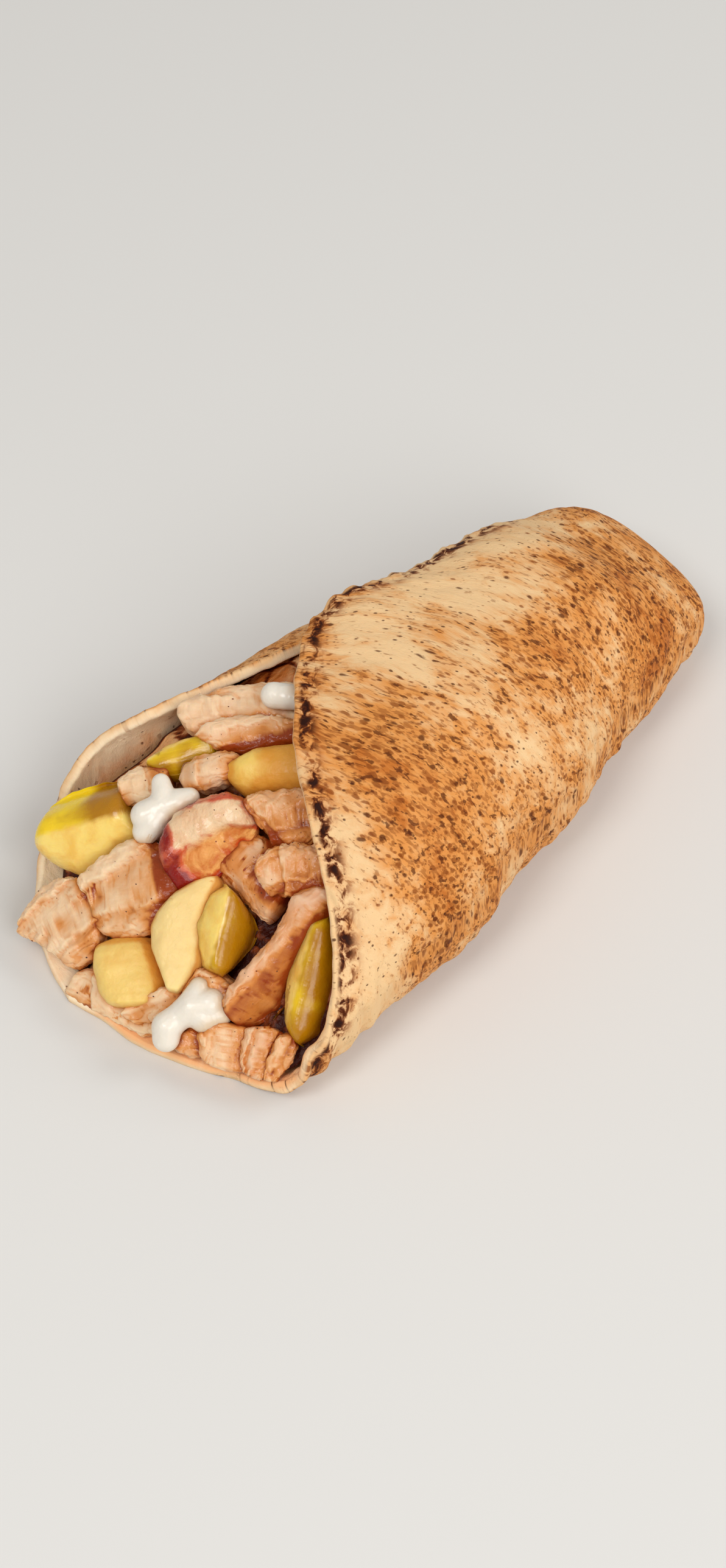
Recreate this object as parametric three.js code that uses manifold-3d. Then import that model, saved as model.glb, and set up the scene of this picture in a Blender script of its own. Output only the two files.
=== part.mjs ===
// A chicken shawarma wrap lying on its side: one toasted flatbread rolled into a cornet, folded shut
// at one end and heaped with chicken, potato, pickle and garlic sauce at the other.
// Millimetres. +x runs to the folded end, +y to the back, +z up. The bread lies on z = 0.

import * as THREE from 'three';
import { mergeVertices } from 'three/addons/utils/BufferGeometryUtils.js';
import Module from 'manifold-3d';

const wasm = await Module();
wasm.setup();

// ---------------------------------------------------------------- driving dimensions

const bread = {
  tip: -139.5,        // where the flatbread's edge turns under the filling
  join: 32,           // past here the rolled sheet is one closed tube
  end: 57,            // the folded end
  hollowEnd: 44,      // the filling stops here, and the fold is solid bread
  thickness: 2.8,
  layerGap: 0.9,      // between the flap and the layer tucked under it
  crown: 2.4,         // roundness of the upper half of a section, 2 being an ellipse
  base: 3.2,          // the lower half is squarer, as the wrap sags on the table
  press: 0.9,         // how much of its underside the wrap's weight has flattened
  rimBulge: 1.0,      // the bread's cut edge is round
  ripple: 0.5,        // height of the soft waves in the skin
  cornerRise: 2.2,    // the flap's corner stands up off the layer below
  rowsOpen: 27,
  rowsClosed: 5,
  columns: 30,
};

const filling = {
  start: -133,
  stop: bread.hollowEnd - 3,
  belowBread: 1.2,    // clearance under the sheet, and how much that grows inside the roll
  deeperInRoll: 3,
  edgeAngle: 5,       // it ends this far short of the sheet's edges, and further at the mouth
  flapAngle: 16,
  tuckedAngle: 18,
  lumps: 0.05,        // height of the heap's lumps, as a share of the heap's height
  rings: 18,
  below: 13,          // points round the bottom of each ring, and over its top
  above: 8,
};

const middle = { x: -42.1, y: -0.2 };   // centre of the whole wrap, moved to the origin at the end
const gap = 0.35;                      // clearance between neighbouring pieces

// Outer size of the rolled bread: x, reach to the near side, reach to the back, height
const stations = [
  [-140, -46.6, 40, 24],
  [-127, -48.4, 43, 27.5],
  [-112, -51, 50, 33.5],
  [-100, -50.8, 51, 42],
  [-84, -50.8, 45.5, 50.5],
  [-62, -49.6, 40, 54],
  [-43, -45, 36.5, 54],
  [-22, -40.5, 33, 51],
  [0, -33.5, 31, 48],
  [25, -27.3, 31, 43],
  [43, -21.5, 29, 35],
  [52, -18, 26, 25],
  [57, -14.9, 22, 17],
];

// The sheet's two edges as angles round the section, 0 at the back, 90 on top, 180 at the near side
const flapEdge = [
  [-139.5, 279], [-136.5, 268], [-131.6, 254], [-126.5, 238], [-122.5, 207], [-118.4, 182],
  [-112.3, 166], [-105.6, 151], [-96.6, 130], [-86.3, 105], [-79.6, 93], [-72, 85],
  [-61.6, 71], [-48.5, 55], [-35, 49], [0, 45], [20, 42], [32, 40],
];
const tuckedEdge = [
  [-139.5, 279], [-136.5, 292], [-132, 310], [-127.3, 324], [-112, 354], [-96.8, 371],
  [-82.9, 384], [-62.5, 399], [-42.3, 414], [-30, 430], [-5, 430], [8, 410], [14, 400], [32, 400],
];

// Height of the heap along the middle of the mouth: x, z
const heap = [[-139.5, 3], [-130, 7], [-120, 14], [-100, 28], [-80, 37], [-60, 43], [-40, 48]];

const colours = {
  bread: '#d9a566', filling: '#6e2a14', chicken: '#d9a679', glazed: '#c9824f',
  pickle: '#b9a02a', potato: '#e8c263', sauce: '#efe9dd',
};

// ---------------------------------------------------------------- curves and sections

const clamp = (value, low, high) => Math.min(Math.max(value, low), high);
const radians = THREE.MathUtils.degToRad;

function smooth(low, high, x) {
  const t = clamp((x - low) / (high - low), 0, 1);
  return t * t * (3 - 2 * t);
}

// A smooth curve through the points of a table that never overshoots between them
function through(table, column = 1) {
  const xs = table.map((row) => row[0]);
  const ys = table.map((row) => row[column]);
  const step = xs.slice(1).map((x, i) => x - xs[i]);
  const slope = step.map((h, i) => (ys[i + 1] - ys[i]) / h);
  const tangent = ys.map((_, i) => {
    if (i === 0) return slope[0];
    if (i === ys.length - 1) return slope[i - 1];
    if (slope[i - 1] * slope[i] <= 0) return 0;
    const before = 2 * step[i] + step[i - 1];
    const after = step[i] + 2 * step[i - 1];
    return (before + after) / (before / slope[i - 1] + after / slope[i]);
  });
  return (at) => {
    const x = clamp(at, xs[0], xs[xs.length - 1]);
    let i = 0;
    while (i < step.length - 1 && x > xs[i + 1]) i += 1;
    const t = (x - xs[i]) / step[i];
    const rise = t * t * (3 - 2 * t);
    return ys[i] + (ys[i + 1] - ys[i]) * rise
      + step[i] * t * (1 - t) * (tangent[i] * (1 - t) - tangent[i + 1] * t);
  };
}

const nearSide = through(stations, 1);
const backSide = through(stations, 2);
const height = through(stations, 3);
const flapAngle = through(flapEdge);
const tuckedAngle = through(tuckedEdge);
const heapHeight = through(heap);

const signedPower = (value, power) => Math.sign(value) * Math.abs(value) ** power;

// The folded end closes like a pillow: width and height shrink to nothing over its last stretch
function endShrink(x, sharpness) {
  const t = clamp((x - 40) / (bread.end - 40), 0, 1);
  return (1 - t ** sharpness) ** 0.5;
}

// A point of the rolled tube's skin, before the flap is lifted
function tube(x, angle) {
  const low = nearSide(x);
  const high = backSide(x);
  const halfWidth = ((high - low) / 2) * endShrink(x, 7);
  const halfHeight = (height(x) / 2) * endShrink(x, 4);
  const crease = 5 * smooth(44, bread.end, x);
  const c = Math.cos(radians(angle));
  const s = Math.sin(radians(angle));
  const power = 2 / (s >= 0 ? bread.crown : bread.base);
  const z = halfHeight * (1 + signedPower(s, power)) + (height(x) / 2 - halfHeight) * 0.5 + crease;
  return new THREE.Vector3(
    x,
    (low + high) / 2 + halfWidth * signedPower(c, power),
    Math.max(z - bread.press, 0),
  );
}

function tubeNormal(x, angle) {
  const along = tube(Math.min(x + 0.4, bread.end), angle).sub(tube(x - 0.4, angle));
  const around = tube(x, angle + 1.5).sub(tube(x, angle - 1.5));
  return around.cross(along).normalize();
}

// The flap lies over the tucked layer, so it stands a layer proud until it has passed over it
function flapLift(x, angle) {
  const corner = Math.exp(-(((x + 33) / 13) ** 2)) * (1 - smooth(50, 85, angle));
  const proud = bread.thickness + bread.layerGap + bread.cornerRise * corner;
  return proud * (1 - smooth(95, 150, angle)) * (1 - smooth(15, bread.join, x));
}

// Soft waves in the skin, none of them where the wrap lies on the table
function ripple(x, angle) {
  const s = Math.sin(radians(angle));
  const wave = Math.sin(x / 7 + 2 * Math.cos(radians(angle))) + Math.sin(x / 11 - radians(3 * angle));
  return bread.ripple * wave * smooth(-0.85, -0.3, s) * (1 - smooth(46, bread.end, x));
}

// A point of the sheet, at a depth below its outer skin
function sheetPoint(x, angle, depth) {
  const rise = flapLift(x, angle) + ripple(x, angle) - depth;
  return tube(x, angle).addScaledVector(tubeNormal(x, angle), rise);
}

// ---------------------------------------------------------------- closed meshes and solids

// Faces between two rows of points, in the order that points them outwards
function strip(faces, low, high, turned = false) {
  for (let j = 0; j + 1 < low.length; j += 1) {
    const quad = [low[j], low[j + 1], high[j + 1], high[j]];
    if (turned) quad.reverse();
    faces.push([quad[0], quad[1], quad[2]], [quad[0], quad[2], quad[3]]);
  }
}

function closedMesh(faces) {
  const positions = faces.flat().flatMap((point) => [point.x, point.y, point.z]);
  const loose = new THREE.BufferGeometry();
  loose.setAttribute('position', new THREE.Float32BufferAttribute(positions, 3));
  return loose;
}

function solid(geometry) {
  const bare = geometry.clone();
  bare.deleteAttribute('normal');
  bare.deleteAttribute('uv');
  const merged = mergeVertices(bare, 1e-3);
  const index = Array.from(merged.index.array);
  const triVerts = [];
  for (let i = 0; i < index.length; i += 3) {
    const [a, b, c] = index.slice(i, i + 3);
    if (a !== b && b !== c && c !== a) triVerts.push(a, b, c);
  }
  const made = new wasm.Manifold(new wasm.Mesh({
    numProp: 3,
    vertProperties: new Float32Array(merged.attributes.position.array),
    triVerts: new Uint32Array(triVerts),
  }));
  return made.volume() < 0 ? flipped(merged, triVerts) : made;
}

function flipped(merged, triVerts) {
  return new wasm.Manifold(new wasm.Mesh({
    numProp: 3,
    vertProperties: new Float32Array(merged.attributes.position.array),
    triVerts: new Uint32Array(triVerts).reverse(),
  }));
}

// What is left of a piece after a cut may be in scraps: the largest is kept
function largest(body) {
  const bodies = body.decompose();
  return bodies.reduce((best, one) => (one.volume() > best.volume() ? one : best));
}

function geometryOf(body) {
  const mesh = body.getMesh();
  const geometry = new THREE.BufferGeometry();
  const count = mesh.vertProperties.length / mesh.numProp;
  const positions = new Float32Array(count * 3);
  for (let i = 0; i < count; i += 1) {
    for (let k = 0; k < 3; k += 1) positions[3 * i + k] = mesh.vertProperties[i * mesh.numProp + k];
  }
  geometry.setAttribute('position', new THREE.BufferAttribute(positions, 3));
  geometry.setIndex(new THREE.BufferAttribute(new Uint32Array(mesh.triVerts), 1));
  return geometry.toNonIndexed();
}

// A skin over rings of points, drawn to a point at each end
function ringBody(start, rings, end) {
  const faces = [];
  const loop = (ring) => [...ring, ring[0]];
  const fan = (point, ring) => ring.map(() => point);
  strip(faces, fan(start, loop(rings[0])), loop(rings[0]));
  for (let i = 0; i + 1 < rings.length; i += 1) strip(faces, loop(rings[i]), loop(rings[i + 1]));
  strip(faces, loop(rings[rings.length - 1]), fan(end, loop(rings[0])));
  return solid(closedMesh(faces));
}

// ---------------------------------------------------------------- the flatbread

// One sheet with a round rim. Its rows cross the wrap: up to the join each runs from the flap's edge
// round to the tucked edge, and after it each is a closed ring. The hollow closes before the skin does.
function flatbread(grow = 0) {
  const rows = [];
  const openRows = bread.rowsOpen;
  const totalRows = openRows + bread.rowsClosed;
  for (let i = 0; i <= totalRows; i += 1) {
    const open = i < openRows;
    const t = i / openRows;
    const late = (i - openRows) / bread.rowsClosed;
    const x = open
      ? bread.tip + (bread.join - bread.tip) * (0.55 * t ** 1.7 + 0.45 * t)
      : bread.join + (bread.end - bread.join) * (1 - (1 - late) ** 1.6);
    const hollowX = open ? x : bread.join + (bread.hollowEnd - bread.join) * late;
    const first = flapAngle(x);
    const last = open ? tuckedAngle(x) : first + 360;
    const outer = [];
    const inner = [];
    for (let j = 0; j <= bread.columns; j += 1) {
      const angle = THREE.MathUtils.lerp(first, last, j / bread.columns);
      outer.push(sheetPoint(x, angle, -grow));
      inner.push(sheetPoint(hollowX, angle, bread.thickness + grow));
    }
    rows.push({ outer, inner });
  }
  closeRow(rows[0], 0);
  for (const row of rows.slice(openRows)) {
    row.outer[bread.columns] = row.outer[0];
    row.inner[bread.columns] = row.inner[0];
  }
  shutHollow(rows[totalRows]);

  const faces = [];
  for (let i = 0; i < totalRows; i += 1) {
    strip(faces, rows[i].outer, rows[i + 1].outer);
    strip(faces, rows[i].inner, rows[i + 1].inner, true);
  }
  addRim(faces, rows.slice(0, openRows + 1), 0, grow);
  addRim(faces, rows.slice(0, openRows + 1), bread.columns, grow);
  return solid(closedMesh(faces));
}

// At the tip both edges of the sheet meet, and the whole row is one point
function closeRow(row, at) {
  const { outer, inner } = row;
  row.outer = outer.map(() => outer[at]);
  row.inner = inner.map(() => inner[at]);
}

function shutHollow(row) {
  const centre = (points) => points.slice(1)
    .reduce((sum, point) => sum.add(point), new THREE.Vector3())
    .divideScalar(points.length - 1);
  const outer = centre(row.outer);
  const inner = centre(row.inner);
  row.outer = row.outer.map(() => outer);
  row.inner = row.inner.map(() => inner);
}

// The cut edge of the bread is rounded by one line of points that stands out from it
function addRim(faces, rows, column, grow) {
  const last = rows.length - 1;
  const inside = column === 0 ? 1 : column - 1;
  const rim = rows.map((row, i) => {
    const outer = row.outer[column];
    const inner = row.inner[column];
    const mid = outer.clone().lerp(inner, 0.5);
    if (i === last) return mid;
    const out = i === 0 ? new THREE.Vector3(-1, 0, 0)
      : outer.clone().sub(row.outer[inside]).normalize();
    if (i > 0) {
      const along = rows[i + 1].outer[column].clone().sub(rows[i - 1].outer[column]).normalize();
      out.addScaledVector(along, -out.dot(along));
      if (out.length() > 0.05) out.normalize();
    }
    const taper = 1 - smooth(2, 13, outer.x);
    return mid.addScaledVector(out, (bread.rimBulge + grow) * taper);
  });
  const turned = column !== 0;
  const outerLine = rows.map((row) => row.outer[column]);
  const innerLine = rows.map((row) => row.inner[column]);
  strip(faces, outerLine, rim, turned);
  strip(faces, rim, innerLine, turned);
}

// ---------------------------------------------------------------- the filling

// Chicken bound in dark red sauce fills the roll. It shows between the pieces at the mouth,
// where it follows the bread below and is heaped between the bread's two edges above.
function fillingCore(grow = 0) {
  const { start, stop, below, above } = filling;
  const rings = [];
  for (let i = 0; i <= filling.rings; i += 1) {
    const t = i / filling.rings;
    const x = start + (stop - start) * (0.4 * t ** 1.8 + 0.6 * t);
    const flap = flapAngle(x);
    const tucked = tuckedAngle(x);
    const depth = bread.thickness + filling.belowBread + filling.deeperInRoll * smooth(0, 30, x) - grow;
    const open = (1 - smooth(-70, -45, x)) * smooth(start, -118, x);
    const edge = filling.edgeAngle * (1 - grow);
    const full = tucked - flap >= 356;
    const first = full ? 60 : flap + edge + filling.flapAngle * open;
    const last = full ? 420 - 360 / (below + above) * above : tucked - edge - filling.tuckedAngle * open;
    const ring = [];
    for (let j = 0; j < below; j += 1) {
      ring.push(corePoint(x, THREE.MathUtils.lerp(first, last, j / (below - 1)), depth));
    }
    for (let j = 1; j <= above; j += 1) {
      const u = j / (above + 1);
      const lid = corePoint(x, THREE.MathUtils.lerp(last, first + 360, u), depth);
      if (full) {
        ring.push(lid);
      } else {
        const point = ring[below - 1].clone().lerp(ring[0], u);
        const crown = heapHeight(x) * (1 + filling.lumps * Math.sin(1.9 * i + 2.3 * j)) + grow;
        const arch = Math.sin(Math.PI * u) ** 0.8;
        point.z = Math.min(THREE.MathUtils.lerp(point.z, Math.max(crown, point.z), arch), lid.z);
        ring.push(point);
      }
    }
    rings.push(ring);
  }
  const centre = (ring) => ring.reduce((sum, point) => sum.add(point), new THREE.Vector3())
    .divideScalar(ring.length);
  const tip = centre(rings[0]).setX(start - 1.5 - 2 * grow);
  const end = centre(rings[filling.rings]).setX(stop + 1 + grow);
  return ringBody(tip, rings, end);
}

// A point just inside the bread, wherever the sheet is a single layer or two
function corePoint(x, angle, depth) {
  return tube(x, angle).addScaledVector(tubeNormal(x, angle), Math.min(ripple(x, angle), 0) - depth);
}

// ---------------------------------------------------------------- pieces on top of the heap

// from and to are the ends of a piece's centre line, face is the way its shown side looks.
// Pieces lower in the list lie on the ones above them.
const pieces = [
  { name: 'chicken_floor', kind: 'slice', from: [-136, 14, 3], to: [-131, -14, 6],
    face: [-0.64, 0, 0.77], width: 12, thick: 5 },
  { name: 'chicken_tip', kind: 'slice', from: [-139, 29, 4], to: [-121, 17, 17],
    face: [-0.6, 0.05, 0.79], width: 19, thick: 7, steps: 3 },
  { name: 'chicken_dark', kind: 'slice', from: [-132, -18, 6], to: [-127, -27, 7],
    face: [-0.61, -0.22, 0.76], width: 9, thick: 6 },
  { name: 'chicken_strip', kind: 'slice', from: [-135, -4, 6], to: [-123, -16, 15],
    face: [-0.68, -0.18, 0.71], width: 8, thick: 6 },
  { name: 'chicken_under_sauce', kind: 'slice', from: [-126, -14, 11], to: [-116, -24, 16],
    face: [-0.65, -0.24, 0.72], width: 12, thick: 8 },
  { name: 'chicken_low_right', kind: 'slice', from: [-114, -41, 15], to: [-124, -43, 6],
    face: [-0.6, -0.43, 0.68], width: 7, thick: 5 },
  { name: 'chicken_low_mid', kind: 'slice', from: [-117, -34, 14], to: [-126, -40, 6],
    face: [-0.55, -0.42, 0.72], width: 11, thick: 6 },
  { name: 'chicken_low_left', kind: 'slice', from: [-121, -27, 13], to: [-129, -32, 6],
    face: [-0.5, -0.36, 0.79], width: 12, thick: 6 },
  { name: 'pickle_back', kind: 'spear', from: [-96, 32, 31], to: [-82, 18, 39],
    face: [-0.32, 0.24, 0.92], width: 9, thick: 8 },
  { name: 'chicken_slab', kind: 'slice', from: [-84, 35, 37], to: [-60, 8, 45],
    face: [-0.33, 0.02, 0.94], width: 15, thick: 7, steps: 1 },
  { name: 'chicken_slab_low', kind: 'slice', from: [-86, 25, 38], to: [-64, 4, 45],
    face: [-0.45, -0.13, 0.89], width: 11, thick: 7, steps: 1 },
  { name: 'potato_back', kind: 'chunk', from: [-88, 14, 36], to: [-69, -6, 43],
    face: [-0.47, -0.16, 0.87], width: 16, thick: 14 },
  { name: 'chicken_bit_left', kind: 'slice', from: [-104, 32, 28], to: [-94, 24, 33],
    face: [-0.64, -0.02, 0.77], width: 10, thick: 9 },
  { name: 'chicken_bit_back', kind: 'slice', from: [-95, 21, 36], to: [-83, 11, 40],
    face: [-0.55, -0.1, 0.83], width: 9, thick: 9 },
  { name: 'chicken_torn_high', kind: 'slice', from: [-93, 0, 38], to: [-77, -17, 41],
    face: [-0.49, -0.18, 0.85], width: 14, thick: 9, steps: 1 },
  { name: 'chicken_mid', kind: 'slice', from: [-98, 1, 30], to: [-99, -24, 28],
    face: [-0.48, -0.09, 0.87], width: 13, thick: 9 },
  { name: 'chicken_torn_low', kind: 'slice', from: [-99, -11, 34], to: [-85, -28, 37],
    face: [-0.53, -0.23, 0.82], width: 12, thick: 9, steps: 1 },
  { name: 'pickle_right', kind: 'spear', from: [-93, -31, 31], to: [-116, -43, 10],
    face: [-0.61, -0.38, 0.7], width: 13, thick: 13 },
  { name: 'chicken_ridge', kind: 'slice', from: [-120, -26, 15], to: [-90, -30, 35],
    face: [-0.54, -0.35, 0.76], width: 13, thick: 10, steps: 1 },
  { name: 'pickle_left', kind: 'spear', from: [-122, 41, 14], to: [-103, 19, 28],
    face: [0.4, 0.5, 0.77], width: 20, thick: 22 },
  { name: 'chicken_fold', kind: 'slice', from: [-124, 24, 15], to: [-108, 2, 28],
    face: [-0.66, 0, 0.75], width: 24, thick: 9, steps: 3 },
  { name: 'pickle_mid', kind: 'spear', from: [-101, -9, 29], to: [-118, -21, 15],
    face: [-0.2, -0.55, 0.8], width: 15, thick: 14 },
  { name: 'potato_low', kind: 'chunk', from: [-121, 8, 14], to: [-134, -6, 5],
    face: [-0.52, -0.19, 0.83], width: 17, thick: 14 },
  { name: 'potato_mid', kind: 'chunk', from: [-103, 1, 28], to: [-126, -13, 11],
    face: [-0.5, -0.25, 0.83], width: 14, thick: 14 },
  { name: 'chicken_glazed', kind: 'slice', from: [-111, 9, 28], to: [-89, -3, 39],
    face: [-0.56, -0.19, 0.81], width: 16, thick: 11, steps: 1, colour: colours.glazed },
];

// Garlic sauce, as dollops of one or more balls: x, y, z and radius of each
const dollops = {
  sauce_back: [[-69, 16, 49, 4.2], [-64, 10, 50, 4.2]],
  sauce_mid: [[-108, 18, 33, 4.8], [-104, 17, 35, 4.6], [-99, 14, 38, 4.2], [-100, 20, 37, 3.4]],
  sauce_low: [[-134, -18, 10, 3.9], [-130, -18, 13.5, 3.9], [-126, -22, 16, 5], [-124, -26, 16.5, 4]],
};

// Uneven without being random: each piece has its own mix of three waves
function unevenness(seed, a, b) {
  return 0.5 * Math.sin(2.7 * a + 1.3 * seed) * Math.cos(b + 2.1 * seed)
    + 0.3 * Math.sin(5.9 * a - 2 * b + seed) + 0.2 * Math.cos(3 * b + 4.1 * a + 3.3 * seed);
}

// Section of a piece at s along it, from -1 to 1, and t round it, from 0 to 1, in half sizes
const sections = {
  // A torn slice of chicken: blunt, boxy and uneven, its top in steps where layers of meat end
  slice(s, t, piece, seed) {
    const c = Math.cos(2 * Math.PI * t);
    const q = Math.sin(2 * Math.PI * t);
    const blunt = (1 - Math.abs(s) ** 5) ** 0.4 * (1 + 0.14 * unevenness(seed, s, 2 * Math.PI * t));
    const y = signedPower(c, 0.62) * blunt * (1 - 0.12 * s * Math.sin(seed));
    let z = signedPower(q, 0.7) * blunt;
    if (q > 0) z -= 0.3 * ((((y + 1) / 2) * (piece.steps ?? 0)) % 1) * blunt;
    return [y, z - 0.12 * (s * s - 0.4)];
  },
  // A cut of boiled potato: a block with rounded corners
  chunk(s, t, piece, seed) {
    const c = Math.cos(2 * Math.PI * t);
    const q = Math.sin(2 * Math.PI * t);
    const round = (1 - Math.abs(s) ** 3) ** 0.45 * (1 + 0.05 * unevenness(seed, s, 2 * Math.PI * t));
    return [signedPower(c, 0.65) * round, signedPower(q, 0.65) * round];
  },
  // A quarter of a pickled cucumber: a round rind over two cut faces that meet in an edge
  spear(s, t) {
    const taper = (1 - Math.abs(s) ** 2.6) ** 0.55;
    const rind = 0.56;
    if (t < rind) {
      const a = Math.PI * (0.08 + 0.84 * (t / rind));
      return [Math.cos(a) * taper, (Math.sin(a) - 0.1) * taper];
    }
    const u = (t - rind) / (1 - rind);
    const side = u < 0.5 ? -1 : 1;
    const down = u < 0.5 ? 2 * u : 2 - 2 * u;
    return [side * 0.97 * (1 - down) * taper, (0.15 - 1.15 * down) * taper];
  },
};

const ringsAndSides = { slice: [6, 11], chunk: [6, 10], spear: [7, 10] };

function pieceBody(piece, seed, grow = 0) {
  const from = new THREE.Vector3(...piece.from);
  const to = new THREE.Vector3(...piece.to);
  const along = to.clone().sub(from).normalize();
  const face = new THREE.Vector3(...piece.face);
  face.addScaledVector(along, -face.dot(along)).normalize();
  const across = face.clone().cross(along);
  const halfLength = from.distanceTo(to) / 2 + grow;
  const halfWidth = piece.width / 2 + grow;
  const halfThick = piece.thick / 2 + grow;
  const centre = from.clone().lerp(to, 0.5);
  const place = (s, y, z) => centre.clone()
    .addScaledVector(along, s * halfLength)
    .addScaledVector(across, y * halfWidth)
    .addScaledVector(face, z * halfThick);

  const [ringCount, sides] = ringsAndSides[piece.kind];
  const rings = [];
  for (let i = 0; i < ringCount; i += 1) {
    const s = Math.sin((Math.PI / 2) * (-0.93 + (1.86 * i) / (ringCount - 1)));
    const ring = [];
    for (let j = 0; j < sides; j += 1) {
      ring.push(place(s, ...sections[piece.kind](s, j / sides, piece, seed)));
    }
    rings.push(ring);
  }
  return ringBody(place(-1, 0, 0), rings, place(1, 0, 0));
}

function dollopBody(balls, grow = 0) {
  return balls.map(([x, y, z, radius]) => {
    const ball = new THREE.SphereGeometry(radius + grow, 9, 6);
    ball.rotateX(Math.PI / 2);
    ball.translate(x, y, z);
    return solid(ball);
  }).reduce((whole, ball) => whole.add(ball));
}

// ---------------------------------------------------------------- assembly

function material(colour, roughness) {
  return new THREE.MeshStandardMaterial({ color: colour, roughness, metalness: 0 });
}

const pieceColours = { slice: colours.chicken, chunk: colours.potato, spear: colours.pickle };

const wrap = new THREE.Group();
wrap.position.set(-middle.x, -middle.y, 0);

function addNode(name, body, colour, roughness) {
  const mesh = new THREE.Mesh(geometryOf(body), material(colour, roughness));
  mesh.name = name;
  wrap.add(mesh);
}

addNode('bread', flatbread(), colours.bread, 0.8);

// The heap is built from the top down: each thing is cut to clear the bread, the filling under it
// and all that lies on it
const core = fillingCore();
let taken = flatbread(gap).add(core).add(fillingCore(2 * gap));
const stacked = [
  ...Object.entries(dollops).map(([name, balls]) => ({
    name, colour: colours.sauce, roughness: 0.35, body: (grow) => dollopBody(balls, grow),
  })),
  ...pieces.map((piece, i) => ({
    name: piece.name,
    colour: piece.colour ?? pieceColours[piece.kind],
    roughness: 0.5,
    body: (grow) => pieceBody(piece, i + 1, grow),
  })).reverse(),
];
for (const thing of stacked) {
  addNode(thing.name, largest(thing.body(0).subtract(taken)), thing.colour, thing.roughness);
  taken = taken.add(thing.body(gap));
}
addNode('filling_core', core, colours.filling, 0.5);

export default wrap;
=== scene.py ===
# A chicken shawarma wrap: toasted flatbread rolled round chicken, potato, pickle and garlic sauce.
# Lengths are millimetres until a mesh is made. +x runs to the folded end, +y to the back, +z up.

import math

import bmesh
import bpy
import numpy as np
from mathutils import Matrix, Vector
from mathutils.bvhtree import BVHTree
from mathutils.kdtree import KDTree


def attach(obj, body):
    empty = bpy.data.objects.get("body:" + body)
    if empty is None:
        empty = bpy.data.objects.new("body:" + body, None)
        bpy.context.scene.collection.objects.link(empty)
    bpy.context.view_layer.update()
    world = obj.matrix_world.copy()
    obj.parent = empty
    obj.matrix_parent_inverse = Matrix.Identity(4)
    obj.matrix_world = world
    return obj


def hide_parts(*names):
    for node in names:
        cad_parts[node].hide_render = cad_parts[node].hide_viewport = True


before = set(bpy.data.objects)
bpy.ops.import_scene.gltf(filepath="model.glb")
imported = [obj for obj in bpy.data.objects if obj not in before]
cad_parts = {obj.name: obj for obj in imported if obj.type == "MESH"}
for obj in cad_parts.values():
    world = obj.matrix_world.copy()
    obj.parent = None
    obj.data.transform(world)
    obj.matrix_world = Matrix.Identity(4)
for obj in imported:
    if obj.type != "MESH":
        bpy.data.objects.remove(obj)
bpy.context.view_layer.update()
scene = bpy.context.scene
scene.view_settings.view_transform = "Standard"  # food colours stay as they are mixed
print("frame loaded:", len(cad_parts), "nodes")

wrapMiddle = np.array([-42.1, -0.2, 0.0])  # the frame's origin, where x is counted from the roll


def unit(vector):
    return vector / np.maximum(np.linalg.norm(vector, axis=-1, keepdims=True), 1e-12)


def smoothStep(low, high, value):
    t = np.clip((value - low) / (high - low), 0.0, 1.0)
    return t * t * (3 - 2 * t)


def signedPower(value, power):
    return np.sign(value) * np.abs(value) ** power


def hill(gap, width):
    return np.exp(-(gap / width) ** 2)


def softPast(past, soft):
    # how far past a line, with a soft bend at the line
    return 0.5 * (past + np.sqrt(past * past + soft))


def alongAcross(a, w, degrees):
    # a place counted along and across a line that is turned by so many degrees
    c, s = math.cos(math.radians(degrees)), math.sin(math.radians(degrees))
    return a * c + w * s, w * c - a * s


def through(table, at, column=1):
    # a smooth curve through a table's rows that never overshoots between them
    rows = np.array(table, float)
    xs, ys = rows[:, 0], rows[:, column]
    step = np.diff(xs)
    slope = np.diff(ys) / step
    before, after = 2 * step[1:] + step[:-1], step[1:] + 2 * step[:-1]
    sameWay = slope[:-1] * slope[1:] > 0
    first, second = np.where(sameWay, slope[:-1], 1), np.where(sameWay, slope[1:], 1)
    between = np.where(sameWay, (before + after) / (before / first + after / second), 0)
    tangent = np.concatenate([[slope[0]], between, [slope[-1]]])
    x = np.clip(at, xs[0], xs[-1])
    i = np.clip(np.searchsorted(xs, x, side="right") - 1, 0, len(step) - 1)
    t = (x - xs[i]) / step[i]
    rise = t * t * (3 - 2 * t)
    bend = step[i] * t * (1 - t) * (tangent[i] * (1 - t) - tangent[i + 1] * t)
    return ys[i] + (ys[i + 1] - ys[i]) * rise + bend


def uneven(points, size, seed, octaves=2):
    # smooth unevenness of about -1 to 1, with bumps of the given size
    random = np.random.default_rng(seed)
    points = np.asarray(points, float)
    total = np.zeros(points.shape[:-1])
    waves, strength = 18, 0.32
    for octave in range(octaves):
        ways = unit(random.normal(size=(waves, points.shape[-1])))
        ways *= (2 * math.pi / size * 2 ** octave * random.uniform(0.7, 1.3, waves))[:, None]
        total += strength * np.sin(points @ ways.T + random.uniform(0, 2 * math.pi, waves)).sum(-1) / 2
        strength *= 0.5
    return np.clip(total, -1.3, 1.3)


# ---- meshes

def gridFaces(rows, columns, start=0, closed=False, turned=False):
    index = start + np.arange(rows * columns).reshape(rows, columns)
    if closed:
        index = np.concatenate([index, index[:, :1]], 1)
    quads = np.stack([index[:-1, :-1], index[:-1, 1:], index[1:, 1:], index[1:, :-1]], -1).reshape(-1, 4)
    return quads[:, ::-1] if turned else quads


def addObject(name, data):
    made = bpy.data.objects.new(name, data)
    scene.collection.objects.link(made)
    return made


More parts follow.
